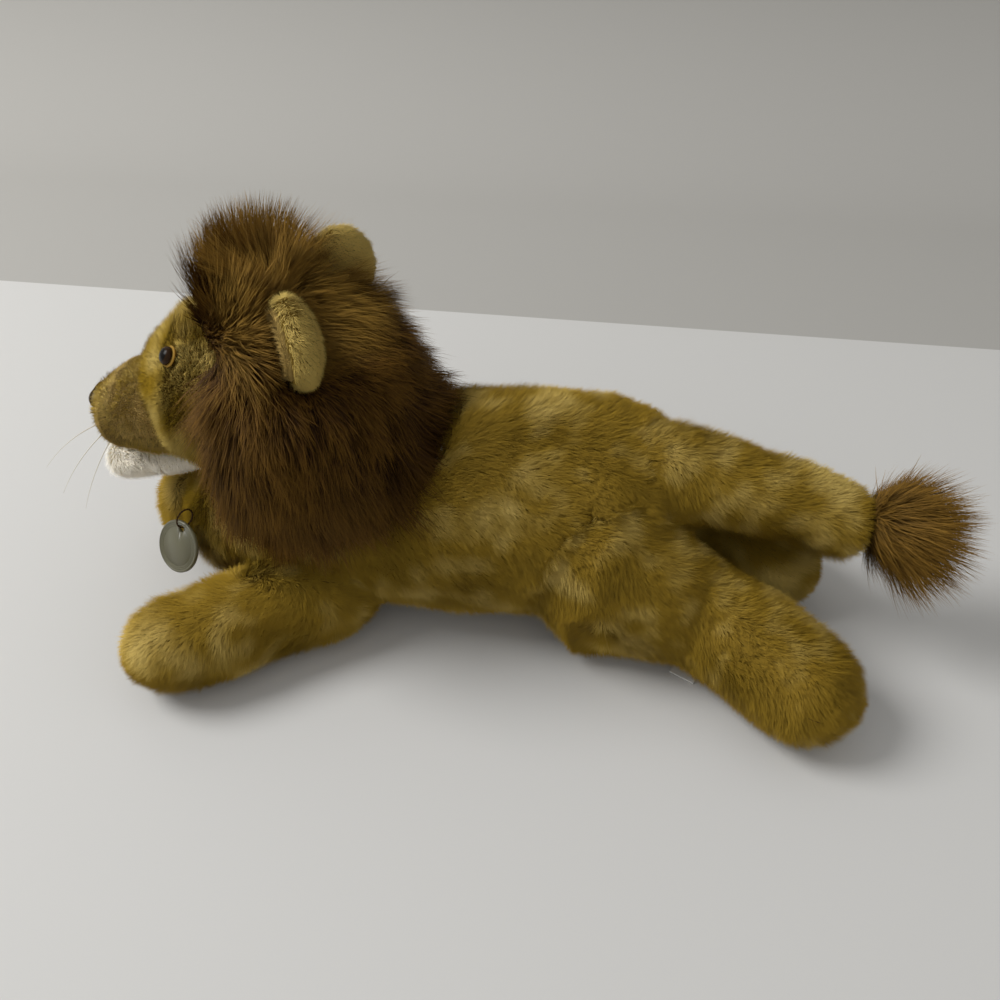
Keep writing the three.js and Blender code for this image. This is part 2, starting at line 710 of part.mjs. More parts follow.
function addHead() {
  const skull = solid(skullForm.geometry(bodyDetail));
  const skullSeat = solid(skullForm.geometry(bodyDetail, seamGap));
  const muzzle = solid(muzzleForm.geometry(limbDetail));
  const muzzleSeat = solid(muzzleForm.geometry(limbDetail, seamGap));
  const chin = solid(chinForm.geometry(limbDetail));
  const muzzleInside = solid(muzzleForm.geometry(smallDetail, -velourWall));
  const chinInside = solid(chinForm.geometry(smallDetail, -velourWall));
  const neck = plugSpace();
  const shankBores = sides.map((entry) => (
    shaftInEyeFrame(entry, eyeShankRadius + seamGap, -2 * coverWall, 2 * coverWall)));
  const washerSeats = sides.map((entry) => (
    shaftInEyeFrame(entry, eyeWasherRadius + seamGap, -eyeShankLength, seamGap - washerSink)));
  const skullInside = solid(skullForm.geometry(coreDetail, -coverWall));
  const hollows = [skullInside, muzzleInside, chinInside, neck, ...shankBores, ...washerSeats];
  addPiece(head, 'head_cover', subtractAll(skull, hollows), goldenPlush);

  const washerRooms = sides.map((entry) => (
    shaftInEyeFrame(entry, eyeWasherRadius + seamGap, -eyeShankLength - seamGap, coverWall)));
  const stuffing = joinAll([
    solid(skullForm.geometry(coreDetail, -coverWall - seamGap)),
    solid(muzzleForm.geometry(smallDetail, -velourWall - seamGap)),
    solid(chinForm.geometry(smallDetail, -velourWall - seamGap)),
  ]);
  addPiece(head, 'head_stuffing', subtractAll(stuffing, [neck, ...washerRooms]), fibreWhite);
  addPiece(head, 'muzzle_panel', subtractAll(muzzle, [skullSeat, muzzleInside, chinInside]), tanVelour);

  const mouthPoints = [-1, 0, 1].flatMap((side) => {
    const angle = side < 0 ? 180 + mouthAngle : -mouthAngle;
    const runs = side === 0 ? [] : mouthRunShares;
    const line = runs.map((run) => muzzleForm.point(run, radians(angle), threadRadius + seamGap));
    return side > 0 ? line.reverse() : line;
  });
  const mouth = new THREE.CatmullRomCurve3(mouthPoints);
  const mouthRoom = solid(strand(mouth, threadRadius + seamGap, 6, 24));
  addPiece(head, 'mouth_seam', solid(strand(mouth, threadRadius, 6, 24)), threadBrown);
  const chinPad = subtractAll(chin, [skullSeat, muzzleSeat, mouthRoom, chinInside]);
  addPiece(head, 'chin_panel', chinPad, creamPlush);

  const noseSeat = muzzleForm.point(noseRunShare, quarterTurn);
  const noseFrame = seatFrame(noseSeat, muzzleForm.outward(noseRunShare, quarterTurn), up);
  const nose = solid(ellipsoid(noseWidth / 2, noseHeight / 2, noseThickness), noseFrame);
  addPiece(head, 'nose', nose.subtract(muzzleSeat), noseBrown, 0.5);

  const ears = sides.map(earSpace);
  const faceSide = 2 * maneRadius;
  const face = solid(new THREE.BoxGeometry(faceSide, 2 * faceSide, 2 * faceSide)
    .translate(-faceSide / 2 - maneFaceForward, 0, 0).rotateY(radians(maneFaceTilt)));
  const nape = new THREE.SphereGeometry(napeRadius, ...ballSegments)
    .translate(0, 0, maneRadius - napeDepth - napeRadius).rotateY(radians(napeTilt));
  const ball = solid(new THREE.SphereGeometry(maneRadius, ...ballSegments)).intersect(solid(nape));
  const crest = solid(ellipsoid(crestLength / 2, crestWidth / 2, crestHeight / 2, ballSegments)
    .translate(-crestForward, 0, crestRise));
  const pile = ball.subtract(face).add(crest);
  addPiece(head, 'mane', subtractAll(pile, [skullSeat, neck, ...ears]), brownPile);
}

// Whiskers: nylon strands that stand out of the muzzle and droop
function addWhiskers({ name, angleOf }) {
  for (let row = 0; row < whiskerRows; row++) {
    const angle = radians(angleOf((row - 1) * whiskerSpacing));
    const foot = muzzleForm.point(whiskerRunShare, angle, whiskerRadius + seamGap);
    const outward = muzzleForm.outward(whiskerRunShare, angle);
    const elbow = foot.clone().addScaledVector(outward, whiskerLength / 2);
    const tip = foot.clone().addScaledVector(outward, whiskerReach).addScaledVector(up, -whiskerDroop);
    const curve = new THREE.QuadraticBezierCurve3(foot, elbow, tip);
    const whisker = solid(strand(curve, whiskerRadius, 4, 5));
    addPiece(head, `whisker_${name}_${row + 1}`, whisker, whiskerPale, 0.4);
  }
}

// Badge: a plain round plate on a thread that is sewn to the chest
function addBadge() {
  const chestPoint = torsoForm.point(badgeRunShare, radians(badgeAngle), loopThreadRadius);
  const turn = radians(badgeTurn);
  const outward = new THREE.Vector3(-Math.cos(turn), -Math.sin(turn), Math.tan(radians(badgeLean)));
  outward.normalize();
  const frame = seatFrame(chestPoint, outward, up);
  const rise = new THREE.Vector3().setFromMatrixColumn(frame, 1);
  const loopCentre = chestPoint.clone().addScaledVector(outward, loopLength / 2);
  const hanger = loopCentre.clone().addScaledVector(rise, -loopLength / 2);

  const loop = new THREE.Group();
  loop.applyMatrix4(frame.clone().setPosition(loopCentre));
  lion.add(loop);
  const ring = new THREE.TorusGeometry(loopLength / 2, loopThreadRadius, 5, 16).rotateY(quarterTurn);
  addPiece(loop, 'badge_thread', solid(ring), threadBrown);

  const badge = new THREE.Group();
  badge.applyMatrix4(frame.clone().setPosition(hanger));
  lion.add(badge);
  const half = badgeThickness / 2;
  const inner = badgeRadius - badgeRim;
  const plate = roundPiece([
    [0, -half],
    [badgeRadius - badgeGroove, -half],
    [badgeRadius, -half + badgeGroove],
    [badgeRadius, half - badgeGroove],
    [badgeRadius - badgeGroove, half],
    [inner, half],
    [inner - badgeGroove, half - badgeGroove],
    [0, half - badgeGroove],
  ]);
  const sag = loopThreadRadius + swingGap - badgeHoleRadius; // the hole's top hangs on the thread
  plate.translate(0, sag + badgeHoleInset - badgeRadius, 0);
  const bore = solid(new THREE.CylinderGeometry(
    badgeHoleRadius, badgeHoleRadius, 2 * badgeThickness, roundSegments)
    .rotateX(quarterTurn).translate(0, sag, 0));
  addPiece(badge, 'badge', solid(plate).subtract(bore), badgeGrey, 0.35);
}

addTorso();
legs.forEach(addLeg);
addTail();
addBadge();

const neck = new THREE.Group();
neck.position.copy(neckCentre);
lion.add(neck);
addPiece(neck, 'neck_stuffing', solid(neckPlug(0)), fibreWhite);

lion.add(head);
addHead();
sides.forEach(addEar);
sides.forEach(addEye);
sides.forEach(addWhiskers);

export default lion;
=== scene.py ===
import math

import bmesh
import bpy
import numpy as np
from mathutils import Matrix, Vector, noise
from mathutils.bvhtree import BVHTree


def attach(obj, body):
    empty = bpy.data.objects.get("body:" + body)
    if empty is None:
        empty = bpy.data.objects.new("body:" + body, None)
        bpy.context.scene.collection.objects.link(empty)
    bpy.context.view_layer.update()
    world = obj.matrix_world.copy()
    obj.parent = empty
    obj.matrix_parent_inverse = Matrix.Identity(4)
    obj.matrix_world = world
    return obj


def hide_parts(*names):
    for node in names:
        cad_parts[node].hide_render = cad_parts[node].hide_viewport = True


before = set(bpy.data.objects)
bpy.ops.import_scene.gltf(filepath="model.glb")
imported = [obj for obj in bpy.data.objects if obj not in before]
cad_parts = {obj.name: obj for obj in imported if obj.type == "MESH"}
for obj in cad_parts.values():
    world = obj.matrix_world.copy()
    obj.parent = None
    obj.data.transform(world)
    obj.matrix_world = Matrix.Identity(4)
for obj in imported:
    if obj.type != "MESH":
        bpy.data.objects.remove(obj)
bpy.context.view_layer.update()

scene = bpy.context.scene
millimetre = 0.001

# Camera
# It looks down on the lion's left side, from beside and above its back.
camera_place = (0.0619, -0.3368, 0.3650)
camera_turn = math.radians(7.4)
camera_dip = math.radians(42.5)
camera_sensor = 36  # millimetres, as its lens
camera_lens = 35.1
camera = bpy.data.objects.new("camera", bpy.data.cameras.new("camera"))
camera.data.sensor_width = camera_sensor
camera.data.lens = camera_lens
camera.location = camera_place
camera.rotation_euler = (math.pi / 2 - camera_dip, 0, camera_turn)
scene.collection.objects.link(camera)
scene.camera = camera
scene.view_settings.view_transform = "Standard"

# Studio
# The lion lies on a white sheet, and a paper sweep runs under it and up behind. Past the sheet
# the paper is painted a darker grey, as painted shade for the far floor and the wall. One large
# soft lamp hangs high before its face, and the room around gives the rest of the light.
sweep_near = -1.6
sweep_foot = 0.42
sweep_bend = 0.16
sweep_height = 0.9
sweep_width = 2.4
sweep_steps = 12
paper_drop = 0.0004
# darker grey past the sheet: painted shade for the far floor and the wall
painted_shade_paper_colour = "#b3b1ac"
sheet_far = 0.248
sheet_drop = 0.0002
sheet_colour = "#d2d1ce"
room_light = 0.5
lamp_power = 20
lamp_size = 0.9
lamp_place = (-1.15, -0.15, 1.35)


def shown(colour):
    """An sRGB colour as the linear values that shaders take."""
    parts = [int(colour[i:i + 2], 16) / 255 for i in (1, 3, 5)]
    linear = [c / 12.92 if c <= 0.04045 else ((c + 0.055) / 1.055) ** 2.4 for c in parts]
    return (*linear, 1.0)


def add(tree, kind, inputs=None, **settings):
    """A node with its settings. Each input is a value, a socket to link from, or a node whose
    first output is linked."""
    node = tree.nodes.new(kind)
    for key, value in settings.items():
        setattr(node, key, value)
    for socket, value in (inputs or {}).items():
        if isinstance(value, bpy.types.Node):
            value = value.outputs[0]
        if isinstance(value, bpy.types.NodeSocket):
            tree.links.new(value, node.inputs[socket])
        else:
            node.inputs[socket].default_value = value
    return node


def surface(name, build, lit_through=False):
    """A material whose Principled inputs are what build(tree) returns. Fine fibres are lit
    through as well: light that falls on their far side comes out at the near one."""
    material = bpy.data.materials.new(name)
    material.use_nodes = True
    tree = material.node_tree
    tree.nodes.clear()
    inputs = build(tree)
    shader = add(tree, "ShaderNodeBsdfPrincipled", inputs)
    if lit_through:
        back = add(tree, "ShaderNodeVectorMath", {0: inputs["Normal"], "Scale": -1.0}, operation="SCALE")
        through = add(tree, "ShaderNodeBsdfTranslucent", {"Color": inputs["Base Color"], "Normal": back})
        shader = add(tree, "ShaderNodeAddShader", {0: shader, 1: through})
    add(tree, "ShaderNodeOutputMaterial", {"Surface": shader})
    return material


def new_object(name, mesh, *materials):
    """A mesh with its materials, set into the scene."""
    obj = bpy.data.objects.new(name, mesh)
    for material in materials:
        mesh.materials.append(material)
    scene.collection.objects.link(obj)
    return obj


def sweep_profile():
    """The paper's line from the front edge, over the bend, and up."""
    points = [(sweep_near, 0.0), (sweep_foot, 0.0)]
    for i in range(1, sweep_steps + 1):
        angle = i / sweep_steps * math.pi / 2
        points.append((sweep_foot + sweep_bend * math.sin(angle), sweep_bend * (1 - math.cos(angle))))
    points.append((sweep_foot + sweep_bend, sweep_height))
    return points


def paper(name, colour):
    """Matt pale paper, on which the soft shadow under the lion reads clearly."""
    return surface(name, lambda tree: {"Base Color": shown(colour), "Roughness": 1.0,
                                       "Specular IOR Level": 0.0})


profile = sweep_profile()
sweep_mesh = bpy.data.meshes.new("paper_sweep")
sweep_mesh.from_pydata(
    [(x, y, z - paper_drop) for x in (-sweep_width, sweep_width) for y, z in profile],
    [],
    [(i, i + len(profile), i + 1 + len(profile), i + 1) for i in range(len(profile) - 1)])
sweep_mesh.shade_smooth()
new_object("paper_sweep", sweep_mesh, paper("grey_paper_painted_shade", painted_shade_paper_colour))
sheet_mesh = bpy.data.meshes.new("white_sheet")
sheet_mesh.from_pydata(
    [(x, y, -sheet_drop) for x, y in ((-sweep_width, sweep_near), (sweep_width, sweep_near),
                                      (sweep_width, sheet_far), (-sweep_width, sheet_far))],
    [],
    [(0, 1, 2, 3)])
new_object("white_sheet", sheet_mesh, paper("white_matt_paper", sheet_colour))

lamp = bpy.data.objects.new("soft_lamp", bpy.data.lights.new("soft_lamp", "AREA"))
lamp.data.energy = lamp_power
lamp.data.shape = "DISK"
lamp.data.size = lamp_size
lamp.location = lamp_place
lamp.rotation_euler = (-Vector(lamp_place)).to_track_quat("-Z", "Y").to_euler()
scene.collection.objects.link(lamp)
world = bpy.data.worlds.new("room")
world.use_nodes = True
world.node_tree.nodes["Background"].inputs["Color"].default_value = (1, 1, 1, 1)
world.node_tree.nodes["Background"].inputs["Strength"].default_value = room_light
scene.world = world

# Torso
# The body is one bag of golden acrylic plush, sewn inside out, turned, and stuffed with fibre
# over a bag of pellets. Its pile is some 6 mm long, stands half up, and is brushed back and down.
skin_voxel = 2.2 * millimetre
pile_foot = 3.4 * millimetre  # how far a skin lies inside the form that its pile fills
filling_gap = 0.5 * millimetre
seam_swell = 0.5 * millimetre  # closes the seams between forms when they are taken as one
seam_rise = 2.5 * millimetre  # of a skin's rounded rim, to meet its neighbour at the seam
lump_size = 26 * millimetre
lump_rise = 0.9 * millimetre
brush_size = 26 * millimetre  # of the patches that are brushed one way
brush_sway = 0.45
golden_density = 5.6e6  # locks to the square metre
golden_length = 6.2 * millimetre
golden_width = 0.34 * millimetre
golden_lean = 0.8
outer_facing = 0.4  # from which a corner's own direction counts as outside
bare_facing, full_facing = 0.1, 0.5  # from a corner without pile to one that has all of it
weakest_flow = 0.3  # so that the pile stays upright where the flow ends on a surface
bow_share = 0.62  # of a half turn, which a bowed lock bends through
lock_width_shares = (0.6, 1.3)
floor_gap = 0.3 * millimetre
wide_patch = 24 * millimetre
small_patch = 9 * millimetre
patch_depth = 0.4
open_tone = 0.8  # of a patch that is brushed wholly open
pale_share = 0.7  # of the pale colour in such a patch
least_facing = 0.25  # how far a lock's lay always turns to the eye
knit_row = 1.2 * millimetre  # drawn coarser than real stitches, so that it shows
knit_relief = 0.3 * millimetre
floor_touch = 1.5 * millimetre  # below which a skin lies on the floor, bare of pile
floor_free = 5 * millimetre


def loose_copy(name, nodes):
    """Some CAD pieces together in one mesh."""
    joined = bmesh.new()
    for node in nodes:
        joined.from_mesh(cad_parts[node].data)
    mesh = bpy.data.meshes.new(name)
    joined.to_mesh(mesh)
    joined.free()
    return mesh


def settled(obj, name):
    """The object's mesh as its modifiers make it, in its place."""
    graph = bpy.context.evaluated_depsgraph_get()
    mesh = bpy.data.meshes.new_from_object(obj.evaluated_get(graph), depsgraph=graph)
    mesh.name = name
    bpy.data.objects.remove(obj)
    return mesh


def largest_part(mesh):
    """Drops all but the largest connected part of a mesh."""
    work = bmesh.new()
    work.from_mesh(mesh)
    left = set(work.verts)
    parts = []
    while left:
        front = [left.pop()]
        part = set(front)
        while front:
            vertex = front.pop()
            for edge in vertex.link_edges:
                other = edge.other_vert(vertex)
                if other in left:
                    left.remove(other)
                    part.add(other)
                    front.append(other)
        parts.append(part)
    parts.sort(key=len, reverse=True)
    bmesh.ops.delete(work, geom=[v for part in parts[1:] for v in part], context="VERTS")
    work.to_mesh(mesh)
    work.free()


def soft_form(name, nodes, voxel, smoothing, swell=0.0):
    """The outside of some CAD pieces together, as one smooth closed surface."""
    loose = loose_copy(name, nodes)
    move_corners(loose, corners(loose) + outward(loose) * swell)
    obj = new_object(name, loose)
    remesh = obj.modifiers.new("one_surface", "REMESH")
    remesh.mode = "VOXEL"
    remesh.voxel_size = voxel
    smooth = obj.modifiers.new("soft", "SMOOTH")
    smooth.iterations = smoothing
    mesh = settled(obj, name)
    mesh.materials.clear()
    largest_part(mesh)
    return mesh


def corners(mesh):
    """The places of a mesh's corners, one row each."""
    values = np.empty(3 * len(mesh.vertices))
    mesh.vertices.foreach_get("co", values)
    return values.reshape(-1, 3)


def move_corners(mesh, points):
    """Puts each corner of a mesh at its new place."""
    mesh.vertices.foreach_set("co", np.ascontiguousarray(points).ravel())
    mesh.update()


def outward(mesh):
    """The direction in which each corner of a mesh faces."""
    values = np.empty(3 * len(mesh.vertices))
    mesh.vertex_normals.foreach_get("vector", values)
    return values.reshape(-1, 3)


def paint(mesh, name, values):
    """Writes one value or vector to each corner of a mesh under a name."""
    kind, field = ("FLOAT", "value") if np.ndim(values) == 1 else ("FLOAT_VECTOR", "vector")
    attribute = mesh.attributes.get(name) or mesh.attributes.new(name, kind, "POINT")
    attribute.data.foreach_set(field, np.ascontiguousarray(values, np.float32).ravel())


def eased(values, low, high):
    """0 up to low, 1 from high, and smooth between."""
    share = np.clip((values - low) / (high - low), 0, 1)
    return share * share * (3 - 2 * share)


def tree_of(mesh):
    """A surface, ready for finding what is nearest on it."""
    return BVHTree.FromPolygons([v.co for v in mesh.vertices], [p.vertices for p in mesh.polygons])


def distance_to(nodes, points):
    """How far each point is from some CAD pieces."""
    tree = tree_of(loose_copy("near", nodes))
    return np.array([tree.find_nearest(Vector(p))[3] for p in points])


def lift_off(mesh, nodes):
    """Brings a skin out to just above the filling under it."""
    tree = tree_of(loose_copy("under", nodes))
    points = corners(mesh)
    for i, point in enumerate(points):
        foot, normal, _, _ = tree.find_nearest(Vector(point))
        if (Vector(point) - foot).dot(normal) < filling_gap:
            points[i] = foot + normal * filling_gap
    move_corners(mesh, points)


def lumps(points, size, seed):
    """Smooth uneven values between about -1 and 1."""
    return np.array([noise.noise(Vector(p) / size + Vector((seed, 0, 0))) for p in points]) * 2


def brushed(points, seed):
    """Uneven directions that change slowly from place to place."""
    return np.stack([lumps(points, brush_size, seed + step) for step in (0, 7, 13)], axis=1)


def fitted_skin(mesh, coat, foot, filling, seed):
    """Lays a skin by the foot of its pile below the coat, which is the surface of all the forms
    together. Returns how much of the coat each corner carries."""
    points = corners(mesh)
    own = outward(mesh)
    rise = lump_rise * lumps(points, lump_size, seed)
    cover = np.zeros(len(points))
    for i, point in enumerate(points):
        top, normal, _, _ = coat.find_nearest(Vector(point))
        depth = (top - Vector(point)).dot(normal)
        facing = normal.dot(Vector(own[i]))
        if depth < foot or (facing > outer_facing and depth < foot + seam_rise):
            points[i] = top - normal * (foot - rise[i])
            cover[i] = facing
    move_corners(mesh, points)
    lift_off(mesh, filling)
    mesh.shade_smooth()
    return eased(cover, bare_facing, full_facing)


def combed(mesh, flow, seed):
    """A flow along the surface, brushed a little to and fro."""
    normals = outward(mesh)
    flow = np.broadcast_to(flow, normals.shape)
    flow = flow / np.linalg.norm(flow, axis=1, keepdims=True)
    flow = flow + brush_sway * brushed(corners(mesh), seed)
    along = flow - normals * np.sum(flow * normals, axis=1, keepdims=True)
    return along / np.maximum(np.linalg.norm(along, axis=1, keepdims=True), weakest_flow)


def tuft_shape(name, steps, bow, tip_share):
    """A flat tapering lock one unit long that leaves its root and bows over along +Z."""
    rows = []
    for i in range(steps):
        share = i / steps
        half = 0.5 * (1 - (1 - tip_share) * share)
        height = bow * math.sin(share * math.pi * bow_share)
        rows += [(-half, height, share), (half, height, share)]
    rows.append((0, bow * math.sin(math.pi * bow_share), 1))
    faces = [(2 * i, 2 * i + 1, 2 * i + 3, 2 * i + 2) for i in range(steps - 1)]
    faces.append((2 * steps - 2, 2 * steps - 1, 2 * steps))
    mesh = bpy.data.meshes.new(name)
    mesh.from_pydata(rows, [], faces)
    paint(mesh, "along", [row[2] for row in rows])
    mesh.shade_smooth()
    return new_object(name, mesh)


def pile_tree():
    """Plants locks over a surface: each follows the comb, leans out, and clumps with those near."""
    tree = bpy.data.node_groups.new("pile", "GeometryNodeTree")
    sockets = tree.interface
    sockets.new_socket("Geometry", in_out="OUTPUT", socket_type="NodeSocketGeometry")
    for name, kind in [("Geometry", "Geometry"), ("Lock", "Object"), ("Material", "Material"),
                       ("Density", "Float"), ("Length", "Float"), ("Width", "Float"),
                       ("Lean", "Float"), ("Jitter", "Float"), ("Clump Size", "Float"),
                       ("Clump Pull", "Float"), ("Wave", "Float"), ("Spread", "Float"),
                       ("Seed", "Int")]:
        sockets.new_socket(name, in_out="INPUT", socket_type="NodeSocket" + kind)
    given = add(tree, "NodeGroupInput").outputs
    place = add(tree, "GeometryNodeInputPosition")
    cover, reach, tone, comb = (
        add(tree, "GeometryNodeInputNamedAttribute", {"Name": name}, data_type=kind)
        for name, kind in (("cover", "FLOAT"), ("reach", "FLOAT"), ("tone", "FLOAT"),
                           ("comb", "FLOAT_VECTOR")))

    # The roots of the locks, strewn over the skin where it carries pile
    density = add(tree, "ShaderNodeMath", {0: given["Density"], 1: cover}, operation="MULTIPLY")
    planted = add(tree, "GeometryNodeDistributePointsOnFaces", {
        "Mesh": given["Geometry"], "Seed": given["Seed"], "Density": density})
    upright = planted.outputs["Normal"]

    # Their headings: the comb, the lean, a pull to the middle of each clump, a wave and a stray
    leaning = add(tree, "ShaderNodeVectorMath", {0: upright, "Scale": given["Lean"]}, operation="SCALE")
    heading = add(tree, "ShaderNodeVectorMath", {0: comb, 1: leaning}, operation="ADD")
    inverse = add(tree, "ShaderNodeMath", {0: 1.0, 1: given["Clump Size"]}, operation="DIVIDE")
    cell = add(tree, "ShaderNodeTexVoronoi", {"Vector": place, "Scale": inverse})
    gather = add(tree, "ShaderNodeVectorMath", {0: cell.outputs["Position"], 1: place},
                 operation="SUBTRACT")
    pull = add(tree, "ShaderNodeMath", {0: given["Clump Pull"], 1: given["Length"]}, operation="DIVIDE")
    gather = add(tree, "ShaderNodeVectorMath", {0: gather, "Scale": pull}, operation="SCALE")
    wave = add(tree, "ShaderNodeTexNoise", {"Vector": place, "Scale": inverse, "Detail": 1.0})
    wave = add(tree, "ShaderNodeVectorMath", {0: wave.outputs["Color"], 1: (0.5, 0.5, 0.5)},
               operation="SUBTRACT")
    wave = add(tree, "ShaderNodeVectorMath", {0: wave, "Scale": given["Wave"]}, operation="SCALE")
    drawn = add(tree, "ShaderNodeVectorMath", {0: gather, 1: wave}, operation="ADD")
    stray = add(tree, "FunctionNodeRandomValue", {0: (-1, -1, -1), 1: (1, 1, 1), "Seed": given["Seed"]},
                data_type="FLOAT_VECTOR")
    stray = add(tree, "ShaderNodeVectorMath", {0: stray, "Scale": given["Jitter"]}, operation="SCALE")
    for part in (drawn, stray):
        heading = add(tree, "ShaderNodeVectorMath", {0: heading, 1: part}, operation="ADD")
    rotation = add(tree, "FunctionNodeAxesToRotation", {
        "Primary Axis": heading, "Secondary Axis": upright}, primary_axis="Z", secondary_axis="Y")

    # Their sizes and shades, a little uneven
    shortest, longest = (add(tree, "ShaderNodeMath", {0: 1.0, 1: given["Spread"]}, operation=way)
                         for way in ("SUBTRACT", "ADD"))
    uneven, wider, lighter = (
        add(tree, "FunctionNodeRandomValue", {2: low, 3: high, "Seed": given["Seed"]},
            data_type="FLOAT").outputs[1]
        for low, high in ((shortest, longest), lock_width_shares, (-0.5, 0.5)))
    length = add(tree, "ShaderNodeMath", {0: given["Length"], 1: reach}, operation="MULTIPLY")
    length = add(tree, "ShaderNodeMath", {0: length, 1: uneven}, operation="MULTIPLY")
    width = add(tree, "ShaderNodeMath", {0: given["Width"], 1: wider}, operation="MULTIPLY")
    size = add(tree, "ShaderNodeCombineXYZ", {0: width, 1: length, 2: length})
    shade = add(tree, "ShaderNodeMath", {0: tone, 1: lighter}, operation="ADD")

    # The locks themselves, kept above the floor
    lock = add(tree, "GeometryNodeObjectInfo", {"Object": given["Lock"]}).outputs["Geometry"]
    locks = add(tree, "GeometryNodeInstanceOnPoints", {
        "Points": planted, "Instance": lock, "Rotation": rotation, "Scale": size})
    for name, kept, kind in (("shade", shade, "FLOAT"), ("lay", upright, "FLOAT_VECTOR")):
        locks = add(tree, "GeometryNodeStoreNamedAttribute", {
            "Geometry": locks, "Name": name, "Value": kept}, data_type=kind, domain="INSTANCE")
    plain = add(tree, "GeometryNodeRealizeInstances", {"Geometry": locks})
    x, y, z = add(tree, "ShaderNodeSeparateXYZ", {0: place}).outputs
    lifted = add(tree, "ShaderNodeMath", {0: z, 1: floor_gap}, operation="MAXIMUM")
    above = add(tree, "ShaderNodeCombineXYZ", {0: x, 1: y, 2: lifted})
    plain = add(tree, "GeometryNodeSetPosition", {"Geometry": plain, "Position": above})
    painted = add(tree, "GeometryNodeSetMaterial", {"Geometry": plain, "Material": given["Material"]})
    add(tree, "NodeGroupOutput", {0: painted})
    return tree


pile = pile_tree()


def grow_pile(name, skin, lock, material, seed, density, length, width,
              lean, jitter=0.3, clump_size=3.5 * millimetre, clump_pull=0.35, wave=0.7, spread=0.22):
    """The pile of a skin as a plain mesh."""
    obj = new_object(name, skin.data.copy())
    grow = obj.modifiers.new("pile", "NODES")
    grow.node_group = pile
    given = {"Lock": lock, "Material": material, "Density": density, "Length": length,
             "Width": width, "Lean": lean, "Jitter": jitter, "Clump Size": clump_size,
             "Clump Pull": clump_pull, "Wave": wave, "Spread": spread, "Seed": seed}
    for socket in pile.interface.items_tree:
        if socket.in_out == "INPUT" and socket.name in given:
            grow[socket.identifier] = given[socket.name]
    mesh = settled(obj, name)
    mesh.materials.clear()
    return new_object(name, mesh, material)


def fur(name, root, middle, tip, pale, spread=0.12, roughness=0.7, softness=2.0):
    """Fibres that change colour from root to tip. Each lock is a little lighter or darker,
    and whole patches are paler where the pile is brushed open. Fine fibres pass light on, so
    a lock takes much of its light as the skin under it does, but never faces away from the eye."""
    def build(tree):
        """The inputs of the fibres' shader."""
        lay = add(tree, "ShaderNodeAttribute", attribute_name="lay").outputs["Vector"]
        lay = add(tree, "ShaderNodeVectorTransform", {"Vector": lay}, vector_type="NORMAL",
                  convert_from="OBJECT", convert_to="WORLD")
        here = add(tree, "ShaderNodeNewGeometry").outputs
        towards = add(tree, "ShaderNodeVectorMath", {0: lay, 1: here["Incoming"]},
                      operation="DOT_PRODUCT").outputs["Value"]
        lacking = add(tree, "ShaderNodeMath", {0: least_facing, 1: towards}, operation="SUBTRACT")
        lacking = add(tree, "ShaderNodeMath", {0: lacking, 1: 0.0}, operation="MAXIMUM")
        to_eye = add(tree, "ShaderNodeVectorMath", {0: here["Incoming"], "Scale": lacking},
                     operation="SCALE")
        lay = add(tree, "ShaderNodeVectorMath", {0: lay, 1: to_eye}, operation="ADD")
        lay = add(tree, "ShaderNodeVectorMath", {0: lay, "Scale": softness}, operation="SCALE")
        facing = add(tree, "ShaderNodeVectorMath", {0: here["Normal"], 1: lay}, operation="ADD")
        facing = add(tree, "ShaderNodeVectorMath", {0: facing}, operation="NORMALIZE")
        along, shade, tone = (add(tree, "ShaderNodeAttribute", attribute_name=each).outputs["Fac"]
                              for each in ("along", "shade", "tone"))
        ramp = add(tree, "ShaderNodeValToRGB", {"Fac": along})
        stops = ramp.color_ramp.elements
        stops[0].color = shown(root)
        stops[1].color = shown(tip)
        stops.new(0.5).color = shown(middle)
        opened = add(tree, "ShaderNodeMapRange", {"Value": tone, "From Min": 0.0, "From Max": open_tone,
                                                  "To Min": 0.0, "To Max": pale_share})
        patch = add(tree, "ShaderNodeMix", {0: opened, 6: ramp, 7: shown(pale)}, data_type="RGBA")
        lightness = add(tree, "ShaderNodeMapRange", {
            "Value": shade, "From Min": -1.0, "From Max": 1.0,
            "To Min": 1 - 2 * spread, "To Max": 1 + 2 * spread})
        varied = add(tree, "ShaderNodeHueSaturation", {"Color": patch.outputs[2], "Value": lightness})
        return {"Base Color": varied, "Roughness": roughness, "Specular IOR Level": 0.2,
                "Normal": facing}

    material = surface(name, build, lit_through=True)
    material.cycles.use_bump_map_correction = False
    return material


def backing(name, colour):
    """The knitted ground under a pile: matt, with the rows of its stitches."""
    def build(tree):
        """The inputs of the knit's shader."""
        place = add(tree, "ShaderNodeTexCoord").outputs["Object"]
        rows = add(tree, "ShaderNodeTexNoise", {"Vector": place, "Scale": 1 / knit_row})
        bump = add(tree, "ShaderNodeBump", {"Height": rows.outputs["Fac"], "Strength": 0.5,
                                            "Distance": knit_relief})
        return {"Base Color": shown(colour), "Roughness": 0.95, "Specular IOR Level": 0.1,
                "Normal": bump}

    return surface(name, build)


